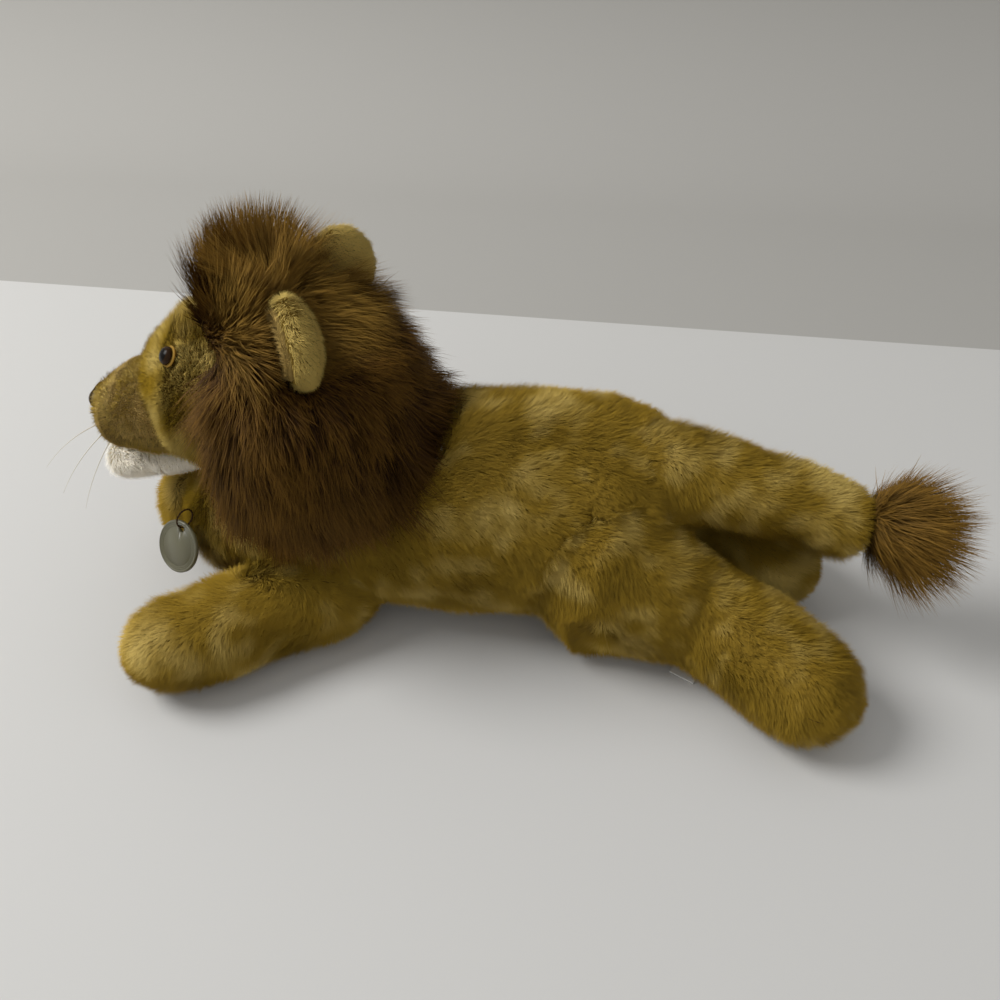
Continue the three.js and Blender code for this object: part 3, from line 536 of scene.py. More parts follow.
# Acrylic plush: darker gold at the tips of the pile and paler down in it, quite matt
golden_fur = fur("golden_acrylic_pile", "#7c6423", "#846a1f", "#80651b", "#ab9656", spread=0.1)
# The knit ground is drawn a little darker than the roots of the pile, as painted shade in the gaps
# between the locks.
golden_ground_painted_shade = backing("golden_knit_ground_painted_shade", "#735c22")
short_lock = tuft_shape("short_lock", steps=1, bow=0.0, tip_share=1.0)
torso_filling = ["torso_stuffing", "belly_pellet_bag"]
golden_bags = ["torso", "front_leg_left", "front_leg_right", "hind_leg_left", "hind_leg_right", "tail"]
golden_forms = [f"{bag}_{layer}" for bag in golden_bags for layer in ("cover", "stuffing")]
golden_coat = tree_of(soft_form("golden_coat", golden_forms, skin_voxel,
                                smoothing=5, swell=seam_swell))
torso_mesh = soft_form("torso_skin", ["torso_cover", *torso_filling], skin_voxel, smoothing=4)
torso_cover = fitted_skin(torso_mesh, golden_coat, pile_foot, torso_filling, seed=1)


def patches(mesh, seed):
    """Where the pile is brushed open: slow patches with smaller ones in them."""
    points = corners(mesh)
    wide, small = (patch_depth * lumps(points, size, seed + step)
                   for size, step in ((wide_patch, 0), (small_patch, 5)))
    return wide + small


def ready(mesh, cover, comb, reach=1.0, tone=0.0):
    """Writes what the pile reads from a skin."""
    count = len(mesh.vertices)
    paint(mesh, "cover", np.broadcast_to(cover, count))
    paint(mesh, "comb", comb)
    paint(mesh, "reach", np.broadcast_to(reach, count))
    paint(mesh, "tone", np.broadcast_to(tone, count))


def above_floor(mesh):
    """0 where a skin lies on the floor and 1 where it is free of it."""
    return eased(corners(mesh)[:, 2], floor_touch, floor_free)


def quarters(mesh, middle):
    """Parts a skin about a point, so that each piece of its pile stays small enough: the name of
    each part, a step for its seed, and where it is."""
    x, y, _ = (corners(mesh) - middle).T
    for end, end_side in (("front", -1), ("rear", 1)):
        for half, side in (("left", -1), ("right", 1)):
            yield f"{half}_{end}", side + 3 * end_side, (side * y > 0) & (end_side * x > 0)


def golden_pile(name, skin, seed):
    """The body's golden pile on one of its skins."""
    return grow_pile(name, skin, short_lock, golden_fur, seed,
                     golden_density, golden_length, golden_width, golden_lean)


def put_on(body, material_slot, *pieces):
    """Gives pieces the body that carries them. The material slot is not used."""
    for piece in pieces:
        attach(piece, body)


torso_flow = np.array((1.0, 0.05, -0.45))
torso_middle = (0.0, 0.0, 0.0)
ready(torso_mesh, torso_cover, combed(torso_mesh, torso_flow, seed=2),
      tone=patches(torso_mesh, seed=3))
torso_skin = new_object("torso_skin", torso_mesh, golden_ground_painted_shade)
torso_piles = []
for part, step, there in quarters(torso_mesh, torso_middle):
    paint(torso_mesh, "cover", torso_cover * above_floor(torso_mesh) * there)
    torso_piles.append(golden_pile(f"torso_pile_{part}", torso_skin, seed=11 + step))
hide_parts("torso_cover")
put_on("torso", "golden_plush", torso_skin, *torso_piles)

# Legs
# Each leg is its own stuffed bag of the same plush, filled through its open root and sewn to the
# body there. A few pellets weigh the paw, and two thread stitches pull the toes in.
leg_roots = {
    "front_leg_left": (-0.057, -0.037), "front_leg_right": (-0.057, 0.037),
    "hind_leg_left": (0.068, -0.0315), "hind_leg_right": (0.068, 0.0315)}
leg_droop = 0.3
root_seam = 1 * millimetre
root_blend = 24 * millimetre  # over which the body's comb turns into the leg's

for seed, (leg, root) in enumerate(leg_roots.items(), 20):
    filling = [leg + "_stuffing", leg + "_pellets"]
    mesh = soft_form(leg + "_skin", [leg + "_cover", *filling], skin_voxel, smoothing=4)
    cover = fitted_skin(mesh, golden_coat, pile_foot, filling, seed)
    points = corners(mesh)
    away = points[:, :2] - root
    away /= np.linalg.norm(away, axis=1, keepdims=True)
    down_leg = np.column_stack([away, np.full(len(points), -leg_droop)])
    free = eased(distance_to(["torso_cover"], points), root_seam, root_blend)[:, None]
    comb = combed(mesh, torso_flow * (1 - free) + down_leg * free, seed)
    ready(mesh, cover * above_floor(mesh), comb, tone=patches(mesh, seed))
    leg_skin = new_object(leg + "_skin", mesh, golden_ground_painted_shade)
    leg_pile = golden_pile(leg + "_pile", leg_skin, seed)
    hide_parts(leg + "_cover")
    put_on(leg, "golden_plush", leg_skin, leg_pile)

# Tail
# A short stuffed tube of the same plush, turned right side out and sewn over its hole in the rump.
# It lies straight back from the rump.
tail_flow = (1.0, -0.1, -0.3)
tail_tone = 0.15
tuft_seam = 2 * millimetre  # over which the short pile ends at the tuft
tail_mesh = soft_form("tail_skin", ["tail_cover", "tail_stuffing"], skin_voxel, smoothing=4)
tail_cover = fitted_skin(tail_mesh, golden_coat, pile_foot, ["tail_stuffing"], seed=31)
tail_cover *= eased(distance_to(["tail_tuft"], corners(tail_mesh)), 0, tuft_seam)
ready(tail_mesh, tail_cover, combed(tail_mesh, tail_flow, seed=31),
      tone=tail_tone + patches(tail_mesh, seed=31))
tail_skin = new_object("tail_skin", tail_mesh, golden_ground_painted_shade)
tail_pile = golden_pile("tail_pile", tail_skin, seed=32)
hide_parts("tail_cover")
put_on("tail", "golden_plush", tail_skin, tail_pile)

# Tuft of the tail
# A pad of long brown pile is sewn over the tail's end. Its locks fan out all round and back
# over the seam, and are darkest in the middle.
tuft_pad_share = 0.45
tuft_density = 8e6
tuft_length = 24 * millimetre
tuft_fan = 13 * millimetre  # from the seam back to the point that the locks fan out from
tuft_overhang = 1.15  # how far the locks pass the form's surface
tuft_shortest, tuft_longest = 0.4, 1.2  # as shares of the lock's length
tuft_tone = 0.3
long_width = 0.34 * millimetre
end_depth = 1 * millimetre  # of the tail's end that is taken as its rim


def outbound(mesh, centre):
    """Unit directions from a point to each corner."""
    arm = corners(mesh) - centre
    return arm / np.linalg.norm(arm, axis=1, keepdims=True)


tuft_mesh = soft_form("tail_tuft_pad", ["tail_tuft"], skin_voxel, smoothing=6)
tuft_points = corners(tuft_mesh)
tail_end = corners(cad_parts["tail_cover"].data)
tail_end = tail_end[tail_end[:, 0] > tail_end[:, 0].max() - end_depth].mean(axis=0)
tuft_room = np.linalg.norm(tuft_points - tail_end, axis=1) * (1 - tuft_pad_share)
move_corners(tuft_mesh, tail_end + (tuft_points - tail_end) * tuft_pad_share)
tuft_mesh.shade_smooth()
ready(tuft_mesh, 1.0, outbound(tuft_mesh, tail_end - np.array((tuft_fan, 0, 0))),
      reach=np.clip(tuft_overhang * tuft_room / tuft_length, tuft_shortest, tuft_longest),
      tone=tuft_tone)
# Long brown pile: nearly black between the locks and pale at their tips
brown_fur = fur("brown_long_pile", "#120802", "#351f05", "#634611", "#80642a",
                spread=0.25, softness=0.9)
brown_ground = backing("brown_knit_ground", "#1c0f03")
long_lock = tuft_shape("long_lock", steps=3, bow=0.16, tip_share=0.35)
tuft_pad = new_object("tail_tuft_pad", tuft_mesh, brown_ground)
tuft_pile = grow_pile("tail_tuft_pile", tuft_pad, long_lock, brown_fur, 33, tuft_density, tuft_length,
                      long_width, lean=0.1, jitter=0.4, clump_size=8 * millimetre, clump_pull=0.9,
                      wave=1.1, spread=0.5)
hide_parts("tail_tuft")
put_on("tail", "brown_long_pile", tuft_pad, tuft_pile)

# Face
# The head is a stuffed ball of golden plush with a shorter pile, which lies back from the nose.
# It is drawn in at the eyes, so that the brows stand out over them.
face_foot = 2.6 * millimetre
face_length = 4.8 * millimetre
face_density = 6e6
face_width = 0.36 * millimetre
face_voxel = 1.6 * millimetre
face_tone = 0.4
nose_tip = np.array((-0.166, 0.0, 0.091))
eye_dent = 1.5 * millimetre
eye_dent_reach = 7 * millimetre
eye_bare, eye_full = 2.6 * millimetre, 4.2 * millimetre  # from under the eye to full pile beside it
seam_bare, seam_full = 0.1 * millimetre, 0.6 * millimetre  # the same beside a seam
flat_near, flat_far = 1 * millimetre, 5 * millimetre  # from a seam, where the pile lies down less
flat_share = 0.6
eye_places = np.array([(-0.1165, side * 0.0236, 0.139) for side in (-1, 1)])
face_coat = tree_of(soft_form("face_coat", ["head_cover", "head_stuffing", "muzzle_panel"],
                              face_voxel, smoothing=5, swell=seam_swell))
head_mesh = soft_form("head_skin", ["head_cover", "head_stuffing"], skin_voxel, smoothing=3)
head_cover = fitted_skin(head_mesh, face_coat, face_foot, ["head_stuffing"], seed=41)
head_points = corners(head_mesh)
eye_far = np.min([np.linalg.norm(head_points - eye, axis=1) for eye in eye_places], axis=0)
dent = eye_dent * np.exp(-(eye_far / eye_dent_reach) ** 2)
move_corners(head_mesh, head_points - outward(head_mesh) * dent[:, None])
lift_off(head_mesh, ["head_stuffing"])
neighbour_gap = distance_to(["mane", "muzzle_panel", "chin_panel"], corners(head_mesh))
head_cover *= eased(neighbour_gap, seam_bare, seam_full)
lies_down = flat_share + (1 - flat_share) * eased(neighbour_gap, flat_near, flat_far)
face_comb = combed(head_mesh, outbound(head_mesh, nose_tip), seed=42) * lies_down[:, None]
ready(head_mesh, head_cover * eased(eye_far, eye_bare, eye_full), face_comb,
      tone=face_tone + patches(head_mesh, seed=42))
head_skin = new_object("head_skin", head_mesh, golden_ground_painted_shade)
head_pile = grow_pile("head_pile", head_skin, short_lock, golden_fur, 43, face_density,
                      face_length, face_width, lean=1.1)
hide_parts("head_cover")
put_on("head", "golden_plush", head_skin, head_pile)

# Muzzle
# A panel of tan velour is sewn round the front of the head, with a seam where it meets the plush.
# Stitches of the mouth draw its lower edge up a little.
velour_length = 1.6 * millimetre
velour_density = 9e6
velour_width = 0.28 * millimetre
muzzle_centre = np.array((-0.135, 0.0, 0.090))
lip_rise = 1.0 * millimetre
lip_depth = 14 * millimetre  # below the middle, where the whole rise is reached
panel_voxel = 1.0 * millimetre
inner_facing, outer_full = 0.05, 0.3  # from the inside of a panel to its outside with full pile
beside_near, beside_far = 6 * millimetre, 8 * millimetre  # from the nose's middle, past its edge
muzzle_tone = 0.25
muzzle_mesh = soft_form("muzzle_skin", ["muzzle_panel"], panel_voxel, smoothing=2)
muzzle_points = corners(muzzle_mesh)
muzzle_points[:, 2] += lip_rise * eased(muzzle_centre[2] - muzzle_points[:, 2], 0, lip_depth)
move_corners(muzzle_mesh, muzzle_points)
muzzle_mesh.shade_smooth()


def facing_out(mesh, centre):
    """1 on the outside of a shell about a centre and 0 on its inside."""
    return eased(np.sum(outward(mesh) * outbound(mesh, centre), axis=1), inner_facing, outer_full)


nose_gap = np.linalg.norm(corners(muzzle_mesh) - nose_tip, axis=1)
beside_nose = eased(nose_gap, beside_near, beside_far)
ready(muzzle_mesh, facing_out(muzzle_mesh, muzzle_centre) * beside_nose,
      combed(muzzle_mesh, outbound(muzzle_mesh, nose_tip), seed=44), tone=muzzle_tone)
# Velour: an even matt tan with a very short dense nap
tan_velour = fur("tan_velour_nap", "#8b7440", "#937a44", "#997f48", "#a98f58",
                 spread=0.06, roughness=0.85)
tan_ground = backing("tan_velour_ground", "#8b7440")
muzzle_skin = new_object("muzzle_skin", muzzle_mesh, tan_ground)
muzzle_pile = grow_pile("muzzle_nap", muzzle_skin, short_lock, tan_velour, 44, velour_density,
                        velour_length, velour_width, lean=0.8, jitter=0.4,
                        clump_size=4 * millimetre, clump_pull=0.05, wave=0.6)
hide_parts("muzzle_panel")
put_on("head", "tan_velour", muzzle_skin, muzzle_pile)

# Chin
# A small pad of cream plush with a short soft pile closes the muzzle from below. It is sewn in
# under the line of the mouth.
chin_length = 3.6 * millimetre
chin_width = 0.32 * millimetre
chin_flow = (0.6, 0.0, -1.0)
chin_centre = np.array((-0.140, 0.0, 0.070))
chin_mesh = soft_form("chin_skin", ["chin_panel"], panel_voxel, smoothing=2)
chin_mesh.shade_smooth()
ready(chin_mesh, facing_out(chin_mesh, chin_centre), combed(chin_mesh, chin_flow, seed=45))
# Cream plush: off-white and soft, a little yellow in the pile
cream_fur = fur("cream_plush_pile", "#d9d0ba", "#e9e3d4", "#f2ede2", "#f5f1e8",
                spread=0.05, roughness=0.8)
cream_ground = backing("cream_knit_ground", "#d6ccb4")
chin_skin = new_object("chin_skin", chin_mesh, cream_ground)
chin_pile = grow_pile("chin_pile", chin_skin, short_lock, cream_fur, 45, face_density,
                      chin_length, chin_width, lean=0.6, jitter=0.35)
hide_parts("chin_panel")
put_on("head", "cream_plush", chin_skin, chin_pile)

# Mane
# A wide band of long brown pile is sewn round the head, from the face's edge to the nape. Its
# locks stand up in a crest over the forehead, hang beside the face, and flow back to the shoulders.
neck_centre = np.array((-0.069, 0.0, 0.108))
scalp_floor = 46 * millimetre
scalp_share = 0.35
mane_density = 4.8e6
mane_length = 24 * millimetre
mane_overhang = 1.1  # how far the locks pass the form's surface
flattest_lock = 0.12
steepest_lock = 0.85
back_slope_radius = 52 * millimetre  # the mane lies flatter from the crown back
back_axis = np.array((0.8, 0, 0.6))
mane_voxel = 2.4 * millimetre
brow_slope, cheek_slope = 104, -84  # degrees: over the brow and beside the face
crown_slope, back_fall, nape_fall = 8, -50, -22  # degrees: the falls add to the crown's slope
face_flow = 0.6  # outwards and back, round the face
mane_sway = 0.35
face_calm = 0.6  # share of the sway that the face's side lacks
side_weight = 0.6  # how much lower the sides count than the middle
crest_weight = 0.5  # the same for the crest
side_lift = 0.3  # of the full lift to the front and back, away from the crest
near_ear_share = 0.35  # of the locks' length, right beside the near ear
near_ear_reach = 13 * millimetre
far_ear_gain = 0.2
far_ear_reach = 12 * millimetre
ear_touch = 3 * millimetre
face_cut, back_cut, side_cut = 0.75, 0.4, 0.2  # shares that the locks are shorter
collar_gain, hanging_gain = 0.5, 0.3  # shares that they are longer
mane_bare, mane_full = 0.15, 0.5  # from the inside of the band to full pile outside
# The crown is painted paler, as painted light from above, and the underside darker, as painted shade.
crown_painted_light, under_painted_shade, front_tone, mane_patch_share = 1.2, 0.6, 0.4, 0.4
# Where each stretch of the mane begins and where it is full, as shares of a unit direction
ahead_range = (-0.3, 0.3)
brow_range = (0.6, 0.85)
cheek_range = (-0.65, -0.2)
back_range = (-0.9, -0.4)
nape_range = (-0.35, 0.1)
backward_range = (0.3, 0.8)
face_range = (0.3, 0.75)
crest_range = (0.45, 0.75)
collar_range = (0.5, 0.9)
collar_top_range = (0.0, 0.4)
side_range = (0.55, 0.95)
hanging_range = (0.3, 0.8)
crown_range = (0.4, 0.9)
front_range = (0.1, 0.5)
mane_mesh = soft_form("mane_base", ["mane"], mane_voxel, smoothing=5)
mane_far = np.linalg.norm(corners(mane_mesh) - neck_centre, axis=1)
mane_way = outbound(mane_mesh, neck_centre)
backward = eased(mane_way @ back_axis, *backward_range)
mane_far = np.minimum(mane_far, mane_far * (1 - backward) + back_slope_radius * backward)
mane_out = np.sum(outward(mane_mesh) * mane_way, axis=1)
scalp = np.where(mane_far > scalp_floor, scalp_floor + (mane_far - scalp_floor) * scalp_share,
                 mane_far)
move_corners(mane_mesh, neck_centre + mane_way * scalp[:, None])
mane_mesh.shade_smooth()
face_side = eased(-outward(mane_mesh)[:, 0], *face_range)  # on the mane's front, round the face
crest = eased(mane_way[:, 2] - crest_weight * np.abs(mane_way[:, 1]), *crest_range)


def mane_comb():
    """Which way the locks run. In front they stand up over the brow and hang beside the face,
    and behind they run back from the crown and down to the nape. Where there is little room
    over the scalp they lie flat."""
    ahead = eased(-mane_way[:, 0], *ahead_range)
    height = mane_way[:, 2] - side_weight * np.abs(mane_way[:, 1])
    front_slope = brow_slope * eased(height, *brow_range) + cheek_slope * eased(-height, *cheek_range)
    back_slope = (crown_slope + back_fall * eased(-height, *back_range)
                  + nape_fall * eased(-height, *nape_range))
    slope = np.radians(front_slope * ahead + back_slope * (1 - ahead))
    along = np.cos(slope) * (1 - face_side) + face_flow * face_side
    comb = np.column_stack([along, face_flow * face_side * mane_way[:, 1], np.sin(slope)])
    comb += mane_sway * (1 - face_calm * face_side[:, None]) * brushed(corners(mane_mesh), seed=46)
    lift_way = mane_way.copy()
    lift_way[:, 0] *= side_lift + (1 - side_lift) * crest
    comb -= lift_way * np.sum(comb * lift_way, axis=1, keepdims=True)
    comb /= np.maximum(np.linalg.norm(comb, axis=1, keepdims=True), weakest_flow)
    room = mane_overhang * (mane_far - scalp) / mane_length
    rise = np.clip(room, flattest_lock, steepest_lock)
    lift = rise / np.sqrt(1 - rise ** 2)
    return comb + lift_way * lift[:, None]


def mane_tone_and_painted_light():
    """Paler on the crown, as painted light from above, and darker beneath it, as painted shade. It is
    also darker round the face, and patchy.
    """
    crown = crown_painted_light * eased(mane_way[:, 2], *crown_range)
    front = front_tone * eased(-mane_way[:, 0], *front_range)
    return crown - under_painted_shade - front + mane_patch_share * patches(mane_mesh, seed=47)


ear_gap = distance_to(["ear_left_back", "ear_left_lining"], corners(mane_mesh))
clear_of_ear = near_ear_share + (1 - near_ear_share) * eased(ear_gap, ear_touch, near_ear_reach)
far_ear_gap = distance_to(["ear_right_back", "ear_right_lining"], corners(mane_mesh))
over_far_ear = 1 - eased(far_ear_gap, ear_touch, far_ear_reach)
collar = eased(mane_way[:, 0], *collar_range) * (1 - eased(mane_way[:, 2], *collar_top_range))
mane_reach = 1.0 - face_cut * face_side * (1 - crest)
mane_reach = mane_reach * (1.0 - back_cut * backward + collar_gain * collar)
at_side = eased(np.abs(mane_way[:, 1]), *side_range)
hanging = eased(-mane_way[:, 2], *hanging_range)
mane_reach = mane_reach * clear_of_ear + far_ear_gain * over_far_ear
mane_reach = mane_reach * (1.0 - side_cut * at_side + hanging_gain * hanging)
ready(mane_mesh, 1.0, mane_comb(), reach=mane_reach, tone=mane_tone_and_painted_light())
mane_base = new_object("mane_base", mane_mesh, brown_ground)
mane_piles = []
for part, step, there in quarters(mane_mesh, neck_centre):
    paint(mane_mesh, "cover", eased(mane_out, mane_bare, mane_full) * there)
    mane_piles.append(grow_pile(
        f"mane_pile_{part}", mane_base, long_lock, brown_fur, 46 + step, mane_density, mane_length,
        long_width, lean=0.0, jitter=0.32, clump_size=9 * millimetre, clump_pull=0.9, wave=1.1,
        spread=0.4))
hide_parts("mane")
put_on("head", "brown_long_pile", mane_base, *mane_piles)

# Ears
# A puffy round of pale golden plush, with a lining of short tan plush sewn to its front. It is
# gathered at its foot and sewn through the mane to the head.
ear_length = 2.8 * millimetre
ear_width = 0.3 * millimetre
ear_tone = 1.0
ear_voxel = 1.2 * millimetre
ear_back_flow = (0.8, 0.0, -0.7)
ear_lining_flow = (0.2, 0.0, 1.0)
back_edge = (0.6 * millimetre, 2.2 * millimetre)  # from the seam, bare to full pile
lining_edge = (0.8 * millimetre, 1.8 * millimetre)
for side in ("left", "right"):
    back_mesh = soft_form(f"ear_{side}_skin", [f"ear_{side}_back"], ear_voxel, smoothing=4)
    lining_gap = distance_to([f"ear_{side}_lining"], corners(back_mesh))
    back_mesh.shade_smooth()
    ready(back_mesh, eased(lining_gap, *back_edge), combed(back_mesh, ear_back_flow, seed=50),
          tone=ear_tone)
    ear_skin = new_object(f"ear_{side}_skin", back_mesh, golden_ground_painted_shade)
    ear_pile = grow_pile(f"ear_{side}_pile", ear_skin, short_lock, golden_fur, 50, golden_density,
                         ear_length, ear_width, golden_lean)
    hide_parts(f"ear_{side}_back")
    lining_mesh = soft_form(f"ear_{side}_inner", [f"ear_{side}_lining"], panel_voxel, smoothing=2)
    back_gap = distance_to([f"ear_{side}_back"], corners(lining_mesh))
    lining_mesh.shade_smooth()
    ready(lining_mesh, eased(back_gap, *lining_edge), combed(lining_mesh, ear_lining_flow, seed=52))
    inner_skin = new_object(f"ear_{side}_inner", lining_mesh, tan_ground)
    inner_pile = grow_pile(f"ear_{side}_inner_pile", inner_skin, short_lock, tan_velour, 52,
                           golden_density, ear_length, ear_width, lean=0.8)
    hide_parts(f"ear_{side}_lining")
    put_on(f"ear_{side}", "golden_plush", ear_skin, ear_pile)
    put_on(f"ear_{side}", "pale_plush", inner_skin, inner_pile)

# Eyes
# A glossy moulded dome with a shank sits on a ring of amber felt. The shank goes through the
# cover, and a plastic washer holds it inside.
eye_seat = Vector((-0.11675, -0.02364, 0.13947))
eye_outward = Vector((-0.62, -0.52, 0.59)).normalized()  # drawn in, so it looks ahead more
eye_sink = 2.4 * millimetre
# The sizes of the turned profiles are in millimetres
dome_radius = 4.0
dome_foot = 1.4  # above the skull, on its felt
dome_height = 3
dome_rings = 10
dome_edge = 0.2
shank_radius = 1.6
pupil_share = 0.62
pupil_blur_share = 0.1
felt_radius = 4.5
felt_foot = 0.3
felt_thickness = 0.8
felt_round = 0.3
bore_radius = 1.9
fine_round = 48
merge_distance = 0.001
felt_tangle = 0.4 * millimetre
felt_relief = 0.2 * millimetre


def turned(name, profile, matrix):
    """A closed ring or disc turned from a profile of radii and heights in millimetres."""
    rows = [(radius * math.cos(turn), radius * math.sin(turn), height)
            for radius, height in profile
            for turn in (2 * math.pi * k / fine_round for k in range(fine_round))]
    count = len(profile)
    faces = [(i * fine_round + k, i * fine_round + (k + 1) % fine_round,
              (i + 1) % count * fine_round + (k + 1) % fine_round, (i + 1) % count * fine_round + k)
             for i in range(count) for k in range(fine_round)]
    mesh = bpy.data.meshes.new(name)
    mesh.from_pydata(rows, [], faces)
    paint(mesh, "across", [math.hypot(x, y) for x, y, _ in rows])
    work = bmesh.new()
    work.from_mesh(mesh)
    bmesh.ops.remove_doubles(work, verts=work.verts, dist=merge_distance)
    bmesh.ops.recalc_face_normals(work, faces=work.faces)
    work.to_mesh(mesh)
    work.free()
    mesh.transform(matrix @ Matrix.Scale(millimetre, 4))
    mesh.shade_smooth()
    return mesh


def seat_matrix(place, outward_axis, rise):
    """A frame that stands on a surface, with its third axis outward and its second upwards."""
    across = rise.cross(outward_axis)
    return Matrix.Translation(place) @ Matrix((across, rise, outward_axis)).transposed().to_4x4()


def eye_colour(tree):
    """Black pupil with a soft edge in a dark brown iris, under a clear gloss."""
    across = add(tree, "ShaderNodeAttribute", attribute_name="across").outputs["Fac"]
    edge = add(tree, "ShaderNodeMapRange", {
        "Value": across, "From Min": pupil_share * dome_radius,
        "From Max": (pupil_share + pupil_blur_share) * dome_radius})
    colour = add(tree, "ShaderNodeMix", {0: edge, 6: shown("#0a0705"), 7: shown("#2b1a08")},
                 data_type="RGBA")
    return {"Base Color": colour.outputs[2], "Roughness": 0.25, "Specular IOR Level": 0.12}


# Moulded eye plastic: almost black with a hard bright highlight
eye_plastic = surface("glossy_eye_plastic", eye_colour)


def felt(tree):
    """Pressed wool: matt, with a fine tangle of fibres."""
    place = add(tree, "ShaderNodeTexCoord").outputs["Object"]
    tangle = add(tree, "ShaderNodeTexNoise", {"Vector": place, "Scale": 1 / felt_tangle, "Detail": 4.0})
    bump = add(tree, "ShaderNodeBump", {"Height": tangle.outputs["Fac"], "Strength": 0.7,
                                        "Distance": felt_relief})
    return {"Base Color": shown("#a5823c"), "Roughness": 0.95, "Specular IOR Level": 0.1,
            "Normal": bump}


amber_felt = surface("amber_wool_felt", felt)
dome_profile = [
    (0, dome_edge - dome_height), (shank_radius, dome_edge - dome_height),
    (shank_radius, dome_foot), (dome_radius - dome_edge, dome_foot)]
for i in range(dome_rings + 1):
    rise_turn = i / dome_rings * math.pi / 2
    dome_profile.append((dome_radius * math.cos(rise_turn),
                         dome_foot + dome_edge + (dome_height - dome_edge) * math.sin(rise_turn)))
felt_profile = [
    (bore_radius, felt_foot), (felt_radius, felt_foot),
    (felt_radius + felt_round / 2, felt_foot + felt_thickness / 2),
    (felt_radius - felt_round, felt_foot + felt_thickness), (bore_radius, felt_foot + felt_thickness)]
for side, mirror in (("left", 1), ("right", -1)):
    place, out = (Vector((v.x, v.y * mirror, v.z)) for v in (eye_seat, eye_outward))
    rise = (Vector((0, 0, 1)) - out * out.z).normalized()
    matrix = seat_matrix(place - out * eye_sink, out, rise)
    eye = new_object(f"eye_dome_{side}", turned(f"eye_dome_{side}", dome_profile, matrix), eye_plastic)
    ring = new_object(f"eye_felt_{side}", turned(f"eye_felt_{side}", felt_profile, matrix), amber_felt)
    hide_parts(f"eye_{side}")
    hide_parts(f"eye_liner_{side}")
    put_on("head", "eye_plastic", eye)
    put_on("head", "amber_felt", ring)

# Nose
# A padded triangle of brown leatherette is stitched to the tip of the muzzle, broad side up,
# with a dimple for each nostril.
nose_place = Vector((-0.1684, 0.0, 0.0964))
nose_outward = Vector((-0.9965, 0.0, -0.0840))
nose_rise = Vector((-0.0840, 0.0, 0.9965))
# The pad's own sizes are in millimetres, and its places are across and upwards from its middle
nose_half = (7.2, 6.0)
nose_dome = 3
nose_fullness = 2.6  # how far out the pad stays full before it rounds off
nose_sink = 2.6
nose_corner = 0.14
nostril_at = (2.7, -0.8)
nostril_reach = 1.7
nostril_depth = 1.1
nose_rings = 12
leather_grain = 0.6 * millimetre
leather_relief = 0.12 * millimetre


def nose_profile():
    """Corners of the nose pad in its own frame, ring by ring from the middle out."""
    rows = []
    for i in range(1, nose_rings + 1):
        share = i / nose_rings
        for k in range(fine_round):
            turn = 2 * math.pi * k / fine_round
            corner = 1 + nose_corner * math.cos(3 * (turn + math.pi / 2))
            x, y = (half * share * corner * swing for half, swing in
                    zip(nose_half, (math.cos(turn), math.sin(turn))))
            far = (abs(x) - nostril_at[0]) ** 2 + (y - nostril_at[1]) ** 2
            nostril = math.exp(-far / nostril_reach)
            rows.append((x, y, nose_dome * (1 - share ** nose_fullness) - nostril_depth * nostril))
    return rows


nose_rows = [(0, 0, nose_dome), *nose_profile()]
nose_faces = [(0, 1 + k, 1 + (k + 1) % fine_round) for k in range(fine_round)]
for i in range(nose_rings - 1):
    inner, outer = 1 + i * fine_round, 1 + (i + 1) * fine_round
    nose_faces += [(inner + k, outer + k, outer + (k + 1) % fine_round, inner + (k + 1) % fine_round)
                   for k in range(fine_round)]
rim = range(len(nose_rows) - fine_round, len(nose_rows))
nose_rows += [(nose_rows[i][0], nose_rows[i][1], -nose_sink) for i in rim]
nose_faces += [(rim[k], rim[k] + fine_round, rim[k - 1] + fine_round, rim[k - 1])
               for k in range(fine_round)]
nose_faces.append([i + fine_round for i in reversed(rim)])
nose_mesh = bpy.data.meshes.new("nose_pad")
nose_mesh.from_pydata(nose_rows, [], nose_faces)
nose_mesh.transform(seat_matrix(nose_place, nose_outward, nose_rise) @ Matrix.Scale(millimetre, 4))
nose_mesh.shade_smooth()


def leatherette(tree):
    """Coated cloth with a fine grain and a dull shine."""
    place = add(tree, "ShaderNodeTexCoord").outputs["Object"]
    grain = add(tree, "ShaderNodeTexVoronoi", {"Vector": place, "Scale": 1 / leather_grain})
    bump = add(tree, "ShaderNodeBump", {"Height": grain.outputs["Distance"], "Strength": 0.4,
                                        "Distance": leather_relief})
    return {"Base Color": shown("#3d3022"), "Roughness": 0.48, "Normal": bump}


nose_pad = new_object("nose_pad", nose_mesh, surface("brown_leatherette", leatherette))
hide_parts("nose")
put_on("head", "nose_leatherette", nose_pad)

# Whiskers
# Three strands of pale nylon line stand out of each side of the muzzle and droop. They are drawn
# thinner to the tip and knotted inside.
whisker_foot_radius = 0.26 * millimetre
whisker_tip_radius = 0.06 * millimetre
whisker_steps = 14
whisker_sides = 6
section_corners = 4  # of a strand, taken together as its foot, its middle or its tip


def tube(name, path, radii, sides):
    """A closed round strand along a path, with a radius at each point."""
    path = [Vector(p) for p in path]
    rows, faces = [], []
    for i, point in enumerate(path):
        tangent = (path[min(i + 1, len(path) - 1)] - path[max(i - 1, 0)]).normalized()
        first = tangent.orthogonal() if i == 0 else first - tangent * first.dot(tangent)
        first.normalize()
        second = tangent.cross(first)
        for k in range(sides):
            turn = 2 * math.pi * k / sides
            rows.append(point + (first * math.cos(turn) + second * math.sin(turn)) * radii[i])
    for i in range(len(path) - 1):
        near, far = i * sides, (i + 1) * sides
        faces += [(near + k, near + (k + 1) % sides, far + (k + 1) % sides, far + k)
                  for k in range(sides)]
    faces += [list(reversed(range(sides))), list(range(len(rows) - sides, len(rows)))]
    mesh = bpy.data.meshes.new(name)
    mesh.from_pydata(rows, [], faces)
    mesh.shade_smooth()
    return mesh


